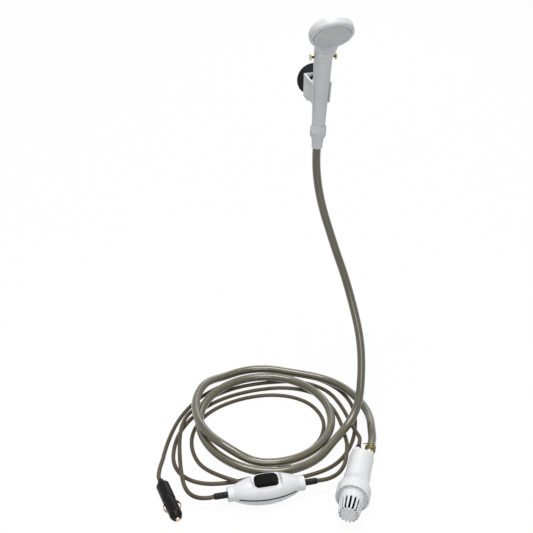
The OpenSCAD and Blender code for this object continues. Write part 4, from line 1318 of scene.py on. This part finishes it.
        # Faces that look inwards, and the back of the end, take the painted shade of the dark inside.
        back = FRAMES.pump.inverted()
        for face in strainer.data.polygons:
            local = back @ (face.center / MM)
            away = (FRAMES.pump.to_3x3().inverted() @ face.normal).xy.dot(local.xy)
            reach = math.hypot(local.x, local.y)
            hollow = reach < self.strainer_inner + self.near and local.z < inside + self.near
            if hollow and (away < -self.inward * reach or local.z > inside - 2 * self.near):
                face.material_index = 1
        seat(smooth(strainer, 35), Body.STRAINER, Slot.ABS, "strainer")

    def build(self) -> None:
        """Builds the pump's visible pieces."""
        self.build_casing()
        self.build_cap()
        self.build_gland()
        self.build_fixings()
        self.build_strainer()


# Springs


@dataclass(frozen=True)
class Spring:
    """Coil spring that shortens on the real part as it is pressed; here it is wound at its rest length."""

    node: str
    place: Matrix
    low: float
    length: float
    radius: float
    turns: int
    joint: str
    travel: float
    wire_r: float = 0.5
    steps: int = 24
    sides: int = 8

    def build(self) -> Piece:
        """Winds the spring and puts it on the set.

        Returns:
            The spring.
        """
        count, rise = self.steps * self.turns, self.length - 2 * self.wire_r
        path = []
        for k in range(count + 1):
            a = math.tau * k / self.steps
            path.append(Vector((self.radius * math.cos(a), self.radius * math.sin(a),
                                self.low + self.wire_r + rise * k / count)))
        coil = sweep(f"{self.node}_coil", path, self.wire_r, self.sides, self.place)
        put(coil, STEEL, 60, Body.SET, Slot.STEEL, self.node)
        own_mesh(coil)
        return coil


# Inline switch


@dataclass
class InlineSwitch:
    """Boat-shaped switch casing, its button and boots."""

    half: float = 45.0
    big_r: float = 21.5
    end_r: float = 11.0
    part: float = 19.6
    far: float = 80.0
    wide: float = 30.0
    below: float = -20.0
    above: float = 60.0
    collar_l: float = 9.0
    seal_half: float = 40.0
    seal_t: float = 2.6
    seal_inset: float = 0.15
    overlap: float = 3.0
    collar_r: float = 10.4
    scoop_floor: float = 32.9
    scoop_half: float = 21.8
    button_l: float = 33.0
    button_w: float = 19.0
    button_top: float = 39.5
    button_low: float = 28.3
    crown_r: float = 70.0
    corner_r: float = 6.0
    window_gap: float = 0.3
    scoop_lip: float = 6.0
    boot_r: float = 4.5
    boot_gap: float = 0.1
    boot_span: tuple[float, float] = (46.5, 56.0)
    screw_at: float = 33.0
    screw_r: float = 2.8
    screw_depth: float = 6.5

    @property
    def along(self) -> Matrix:
        """Frame with Z along the casing's axis."""
        return FRAMES.switch @ shift(0, 0, FRAMES.switch_axis) @ turn("Y", 90)

    def casing_r(self, x: float) -> float:
        """Radius of the bowed casing.

        Args:
            x: distance from its middle.

        Returns:
            The radius.
        """
        rise = self.big_r - self.end_r
        bow = (self.half ** 2 + rise ** 2) / (2 * rise)
        return self.big_r - bow + math.sqrt(bow * bow - x * x)

    def hull(self, name: str, inset: float = 0.0) -> Piece:
        """Turns the whole outer form with its end collars.

        Args:
            name: name of the piece.
            inset: how far its surface lies in.

        Returns:
            The form.
        """
        reach = self.half + self.collar_l
        belly = [(self.casing_r(self.half * k / 24) - inset, self.half * k / 24) for k in range(-24, 25)]
        neck = self.collar_r - inset
        profile = rounded([(0, -reach), (neck, -reach, 0.9), (neck, -self.half - 0.6, 0.5),
                           (neck + 0.4, -self.half - 0.2)]) + belly \
            + rounded([(neck + 0.4, self.half + 0.2), (neck, self.half + 0.6, 0.5), (neck, reach, 0.9),
                       (0, reach)])
        return lathe(name, profile, self.along, 128)

    def slab(self, low: float, high: float, half: float) -> Piece:
        """Flat cutter between two heights."""
        return block("slab", (-half, -self.wide, low), (half, self.wide, high), FRAMES.switch)

    def window(self, longer: float, wider: float, low: float, high: float) -> Piece:
        """Cutter that is longer and wider than the button."""
        outline = pill(self.button_l + longer, self.button_w + wider, self.corner_r + self.window_gap)
        return prism("window", outline, low, high, FRAMES.switch)

    def boot_bores(self) -> list[Piece]:
        """Makes the cutters for the seats of the boots.

        Returns:
            One cutter for each end.
        """
        r, (low, high) = self.boot_r + self.boot_gap, self.boot_span
        return [lathe("bore", [(0, low), (r, low), (r, high), (0, high)], self.along @ turn("Y", angle), 48)
                for angle in (0, 180)]

    def build_cover(self) -> None:
        """Cuts the cover from the outer form, with the scoop and the window for the button."""
        cover = self.hull("switch_cover_moulding")
        half, floor = self.scoop_half, self.scoop_floor
        lip = self.casing_r(half) + FRAMES.switch_axis + self.scoop_lip
        outline = rounded([
            (-half - 2, lip), (-half, lip - 6.5, 2), (-half + 2.6, floor, 2.4), (0, floor - 0.1),
            (half - 2.6, floor, 2.4), (half, lip - 6.5, 2), (half + 2, lip)], 8)
        scoop = prism("scoop", outline, -self.wide, self.wide, FRAMES.switch @ turn("X", 90))
        clear = 2 * self.window_gap
        carve(cover, [self.slab(self.below, self.part, self.far),
                      self.slab(self.part - self.overlap, self.part + self.seal_t / 2, self.seal_half),
                      scoop, self.window(clear, clear, low=25, high=self.above), *self.boot_bores()])
        put(soften(cover, 0.55, angle=40), ABS_WHITE, 45, Body.SET, Slot.ABS, "switch_cover")

    def build_base(self) -> None:
        """Cuts the base from the outer form, flat below, with its two screw holes."""
        base = self.hull("switch_base_moulding")
        r, high = self.screw_r, self.screw_depth
        screws = [lathe("screw_hole", [(0, -1), (r, -1), (r, high), (0, high)],
                        FRAMES.switch @ shift(side * self.screw_at, 0, 0), 48) for side in (-1, 1)]
        carve(base, [self.slab(self.part, self.above, self.far),
                     self.slab(self.part - self.seal_t / 2, self.part + self.overlap, self.seal_half),
                     self.slab(self.below, 0, self.far), *self.boot_bores(), *screws])
        put(soften(base, 0.35, segments=2, angle=40), ABS_WHITE, 45, Body.SET, Slot.ABS, "switch_base")

    def build_seal(self) -> None:
        """Cuts the dark seal between cover and base, open under the button."""
        seal = self.hull("switch_seal_cord", self.seal_inset)
        low, high = self.part - self.seal_t / 2, self.part + self.seal_t / 2
        carve(seal, [self.slab(low, high, self.seal_half)], Cut.CROSS)
        carve(seal, [self.window(longer=4, wider=2, low=5, high=40)])
        put(seal, RUBBER, 45, Body.SET, Slot.RUBBER, "switch_seal")

    def build_button(self) -> None:
        """Shapes the crowned button with its soft edges."""
        outline = pill(self.button_l, self.button_w, self.corner_r, 10)
        button = prism("crowned_push_button", outline, self.button_low, self.button_top + 4, FRAMES.switch)
        crown = lathe("crown", [(0, -40), (self.crown_r, -40), (self.crown_r, 40), (0, 40)],
                      FRAMES.switch @ shift(0, 0, self.button_top - self.crown_r) @ turn("X", 90), 256)
        carve(button, [crown], Cut.CROSS)
        soften(button, 2.0, segments=5, angle=50)
        put(button, BUTTON_ABS, 40, Body.BUTTON, Slot.BLACK, "switch_button")

    def build_boots(self) -> None:
        """Turns the two ribbed lead boots."""
        start, end, r = self.half + self.collar_l, FRAMES.switch_reach, self.boot_r
        profile = rounded([
            (0, start - 6), (r, start - 6), (r, start + 5, 0.2), (r - 0.3, start + 5.5, 0.2),
            (r, start + 6, 0.2), (r, start + 11, 0.2), (r - 0.3, start + 11.5, 0.2),
            (r - 0.05, start + 12, 0.2), (r - 0.1, end - 2, 0.6), (r - 0.9, end - 0.2, 0.4), (0, end)])
        boots = [dress(lathe("lead_boots", profile, self.along @ turn("Y", angle), 48), RUBBER)
                 for angle in (0, 180)]
        seat(smooth(join(boots[0], boots[1:]), 45), Body.SET, Slot.RUBBER, "switch_boots")

    def build(self) -> None:
        """Builds the switch's visible pieces and its spring."""
        self.build_cover()
        self.build_base()
        self.build_seal()
        self.build_button()
        self.build_boots()
        Spring("button_spring", FRAMES.switch, low=22.1, length=6.1, radius=5.0, turns=4,
               joint="button_press", travel=2.5).build()


# Plug


@dataclass
class CarPlug:
    """12 V plug with grip, nose, tip and side contacts."""

    grip_l: float = 34.5
    front_r: float = 8.8
    front_end: float = 58.5
    nose_end: float = 69.5
    tip_r: float = 3.0
    tip_out: float = 5.5
    foot_r: float = 4.4
    foot_t: float = 2.0
    foot_sink: float = 5.3
    contact_at: float = 46.5
    contact_half: float = 9.0
    contact_out: float = 3.5
    contact_sink: float = 1.5
    contact_w: float = 3.8
    contact_t: float = 0.8
    contact_steps: int = 40
    slot_floor: float = 4.0
    slot_w: float = 4.4
    slot_half: float = 10.0
    nose_slots: int = 4
    nose_slot_floor: float = 7.0
    nose_slot_w: float = 1.8
    nose_slot_from: float = 2.5
    cut_r: float = 12.0
    cut_end: float = 80.0
    edge: float = 0.25
    pieces: list[Piece] = field(default_factory=list)

    def build_body(self) -> None:
        """Turns the grip and front, and cuts the slots of the side contacts."""
        place = FRAMES.plug
        body = lathe("plug_grip", rounded([
            (0, 0), (6.6, 0, 0.8), (FRAMES.grip_r, 2.9, 1.6), (FRAMES.grip_r, self.grip_l - 1.2, 0.5),
            (self.front_r, self.grip_l, 0.4), (self.front_r, self.front_end - 0.1, 0.15),
            (0, self.front_end)], 6), place, 96)
        low, high = self.contact_at - self.slot_half, self.contact_at + self.slot_half
        slots = [block("slot", (self.slot_floor, -self.slot_w / 2, low), (self.cut_r, self.slot_w / 2, high),
                       place @ turn("Z", angle)) for angle in (0, 180)]
        carve(body, slots)
        soften(body, self.edge, segments=2, angle=45)
        self.pieces.append(put(body, BLACK_ABS, 45, Body.SET, Slot.BLACK, "plug_body"))

    def build_nose(self) -> None:
        """Turns the nose and cuts its four slots and the tip's hole."""
        place = FRAMES.plug
        nose = lathe("plug_nose_ring", rounded([
            (0, self.front_end), (self.front_r, self.front_end + 0.1, 0.15),
            (self.front_r, self.front_end + 5.5, 3.5), (6.4, self.nose_end, 1.2), (0, self.nose_end)], 6),
            place, 96)
        low, step, high = self.front_end - 1, self.nose_end - 3, self.nose_end + 5
        bore = lathe("bore", [(0, low), (5, low), (5, step), (3.3, step), (3.3, high), (0, high)], place, 64)
        half, start = self.nose_slot_w / 2, self.front_end + self.nose_slot_from
        slots = [block("slot", (self.nose_slot_floor, -half, start), (self.cut_r, half, self.cut_end),
                       place @ turn("Z", 45 + 360 * k / self.nose_slots)) for k in range(self.nose_slots)]
        carve(nose, [bore, *slots])
        soften(nose, self.edge, segments=2, angle=45)
        self.pieces.append(put(nose, BLACK_ABS, 45, Body.SET, Slot.BLACK, "plug_nose"))

    def build_boot(self) -> None:
        """Turns the ribbed boot behind the grip."""
        boot = lathe("plug_lead_boot", rounded([
            (0, -FRAMES.plug_boot), (3.8, -FRAMES.plug_boot, 0.5), (4.2, -6.5, 0.3), (3.7, -6.0, 0.2),
            (4.8, -5.3, 0.4), (5.0, -4.0, 0.4), (4.2, -3.5, 0.2), (5.8, -2.7, 0.5), (6.0, 0), (0, 0)]),
            FRAMES.plug, 64)
        self.pieces.append(put(boot, RUBBER, 45, Body.SET, Slot.RUBBER, "plug_boot"))

    def build_tip(self) -> None:
        """Turns the sprung brass tip."""
        end, low = self.nose_end + self.tip_out, self.nose_end - self.foot_sink
        r, step = self.tip_r, low + self.foot_t
        dome = [(r * math.cos(math.radians(a)), end - r + r * math.sin(math.radians(a)))
                for a in range(0, 90, 9)]
        tip = lathe("brass_plug_tip", [(0, low), (self.foot_r, low), (self.foot_r, step), (r, step), *dome,
                                       (0, end)], FRAMES.plug, 64)
        self.pieces.append(put(tip, BRASS, 45, Body.TIP, Slot.BRASS, "plug_tip"))

    def build_contacts(self) -> None:
        """Bends the two side contacts as bowed strips."""
        base = self.front_r - self.contact_sink
        sag = self.front_r + self.contact_out - base
        radius = (self.contact_half ** 2 + sag ** 2) / (2 * sag)
        middle = base + sag - radius
        span = math.asin(self.contact_half / radius)
        steps = self.contact_steps
        angles = [span * (2 * k / steps - 1) for k in range(steps + 1)]
        outline = [(middle + r * math.cos(a), self.contact_at + r * math.sin(a))
                   for r, way in ((radius, angles), (radius - self.contact_t, angles[::-1])) for a in way]
        for body, node, angle in ((Body.RIGHT, "contact_right", 0), (Body.LEFT, "contact_left", 180)):
            place = FRAMES.plug @ turn("Z", angle) @ turn("X", 90)
            strip = prism(f"{node}_strip", outline, -self.contact_w / 2, self.contact_w / 2, place)
            soften(strip, 0.15, segments=2, angle=60)
            self.pieces.append(put(strip, BRASS_WIRE, 50, body, Slot.BRASS, node))

    def build(self) -> None:
        """Builds the plug's visible pieces."""
        self.build_body()
        self.build_nose()
        self.build_boot()
        self.build_tip()
        self.build_contacts()
        spring = Spring("tip_spring", FRAMES.plug, low=55.3, length=8.8, radius=3.0, turns=5,
                        joint="tip_press", travel=3.0)
        self.pieces.append(spring.build())
        self.pieces.append(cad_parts["plug_fuse"])


# Inner pieces


@dataclass(frozen=True)
class Insides:
    """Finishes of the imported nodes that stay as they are."""

    finishes: tuple[tuple[str, Finish], ...] = (
        ("plate_seal", RUBBER), ("tail_washer", RUBBER), ("cap_seal", RUBBER), ("motor_can", STEEL),
        ("motor_cap", BLACK_ABS), ("motor_magnets", FERRITE), ("motor_rotor", COPPER),
        ("motor_shaft", STEEL), ("shaft_bushes", BRASS), ("motor_wires", WIRE_PVC), ("shaft_seal", RUBBER),
        # The impeller's cover takes the same painted shade as the strainer's inside.
        ("impeller", ACETAL), ("impeller_cover", ABS_PAINTED_SHADE), ("switch_core", BLACK_ABS),
        ("switch_screws", STEEL), ("plug_fuse", FUSE_GLASS))

    def build(self) -> None:
        """Gives each inner node its finish."""
        for name, finish in self.finishes:
            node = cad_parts[name]
            for slot in node.material_slots:
                slot.material = finish.material()
            LOG.info("%s keeps its packed form", name)


# Studio


@dataclass
class Studio:
    """Camera, floor, soft lights and the white surround, in metres, degrees and watts.

    A lamp is its name, place, size and power.
    """

    eye: tuple[float, float, float] = (-0.3823, -1.2116, 0.4077)
    azimuth: float = -14.5
    elevation: float = 29.6
    lens: float = 60.77
    sensor: float = 36.0
    far: float = 100.0
    aim: Point = (-0.1, -0.17, -0.3)
    floor_half: float = 14.0
    floor_lit: str = "#b0b0b0"
    floor_seen: str = "#f6f6f6"
    floor_glow: float = 0.945
    world_lit: float = 0.17
    world_seen: float = 0.95
    lamps: tuple[tuple[str, Point, float, float], ...] = (
        ("overhead", (-0.4, 0.0, 6.0), 3.6, 315.0), ("front", (-0.5, -2.0, 1.0), 1.0, 11.5),
        ("low_front", (0.0, -1.2, -0.4), 0.5, 0.6), ("behind", (0.9, 2.2, 0.9), 1.2, 7.0))

    def build_camera(self) -> None:
        """Sets the camera at the photograph's place."""
        a, e = math.radians(self.azimuth), math.radians(self.elevation)
        back = Vector((math.sin(a) * math.cos(e), -math.cos(a) * math.cos(e), math.sin(e)))
        data = bpy.data.cameras.new("photo_camera")
        data.lens, data.sensor_width, data.clip_end = self.lens, self.sensor, self.far
        camera = bpy.data.objects.new("photo_camera", data)
        camera.location = self.eye
        camera.rotation_euler = (-back).to_track_quat("-Z", "Y").to_euler()
        bpy.context.scene.collection.objects.link(camera)
        bpy.context.scene.camera = camera

    def build_floor(self) -> None:
        """Lays the pale floor, which keeps a faint shadow."""
        s, z = self.floor_half, FRAMES.floor * MM
        mesh = bpy.data.meshes.new("studio_floor")
        mesh.from_pydata([(-s, -s, z), (s, -s, z), (s, s, z), (-s, s, z)], [], [(0, 1, 2, 3)])
        floor = bpy.data.objects.new("studio_floor", mesh)
        bpy.context.scene.collection.objects.link(floor)
        made = bpy.data.materials.new("white_paper_floor")
        made.use_nodes = True
        tree = made.node_tree
        tree.nodes.clear()
        seen = self.seen(tree)
        # The light that the floor throws back is greyer than the floor looks, as on a small photo table.
        tone = add(tree, "ShaderNodeMix", {6: linear(self.floor_lit), 7: linear(self.floor_seen)}, {0: seen},
                   data_type="RGBA")
        paper = add(tree, "ShaderNodeBsdfDiffuse", None, {"Color": tone.outputs[2]})
        glow = add(tree, "ShaderNodeEmission", {"Color": (1, 1, 1, 1), "Strength": 1.0})
        share = add(tree, "ShaderNodeMath", {1: self.floor_glow}, {0: seen}, operation="MULTIPLY")
        mix = add(tree, "ShaderNodeMixShader", None, {0: share.outputs["Value"], 1: paper.outputs["BSDF"],
                                                      2: glow.outputs["Emission"]})
        add(tree, "ShaderNodeOutputMaterial", None, {"Surface": mix.outputs["Shader"]})
        mesh.materials.append(made)

    def seen(self, tree: Tree) -> Socket:
        """One for rays from the camera and for mirrored and see-through ones.

        Args:
            tree: node tree that takes the nodes.

        Returns:
            The socket with the share.
        """
        path = add(tree, "ShaderNodeLightPath")
        share = path.outputs["Is Camera Ray"]
        for ray in ("Is Glossy Ray", "Is Transmission Ray"):
            share = add(tree, "ShaderNodeMath", None, {0: share, 1: path.outputs[ray]},
                        operation="MAXIMUM").outputs["Value"]
        return share

    def build_world(self) -> None:
        """Makes the surround white to the eye and a low even light to the object."""
        world = bpy.data.worlds.new("white_surround")
        world.use_nodes = True
        bpy.context.scene.world = world
        tree = world.node_tree
        tree.nodes.clear()
        strength = add(tree, "ShaderNodeMapRange", {"To Min": self.world_lit, "To Max": self.world_seen},
                       {"Value": self.seen(tree)})
        back = add(tree, "ShaderNodeBackground", {"Color": (1, 1, 1, 1)},
                   {"Strength": strength.outputs["Result"]})
        add(tree, "ShaderNodeOutputWorld", None, {"Surface": back.outputs["Background"]})

    def build_lights(self) -> None:
        """Hangs a large soft light overhead, with weaker ones in front, low in front and behind."""
        for name, place, size, power in self.lamps:
            data = bpy.data.lights.new(name, "AREA")
            data.energy, data.size = power, size
            lamp = bpy.data.objects.new(name, data)
            lamp.location = place
            lamp.visible_camera = False
            towards = Vector(self.aim) - Vector(place)
            lamp.rotation_euler = towards.to_track_quat("-Z", "Y").to_euler()
            bpy.context.scene.collection.objects.link(lamp)

    def build(self) -> None:
        """Sets up everything round the object."""
        bpy.context.scene.view_settings.view_transform = "Standard"
        self.build_camera()
        self.build_floor()
        self.build_world()
        self.build_lights()


def main() -> None:
    """Builds the set piece by piece."""
    logging.basicConfig(level=logging.INFO, format="%(name)s: %(message)s")
    Studio().build()
    cords = HoseAndLeads()
    cords.build()
    Holder().build()
    HandShower().build()
    Pump().build()
    InlineSwitch().build()
    plug = CarPlug()
    plug.build()
    Insides().build()


if __name__ == "__main__":
    main()
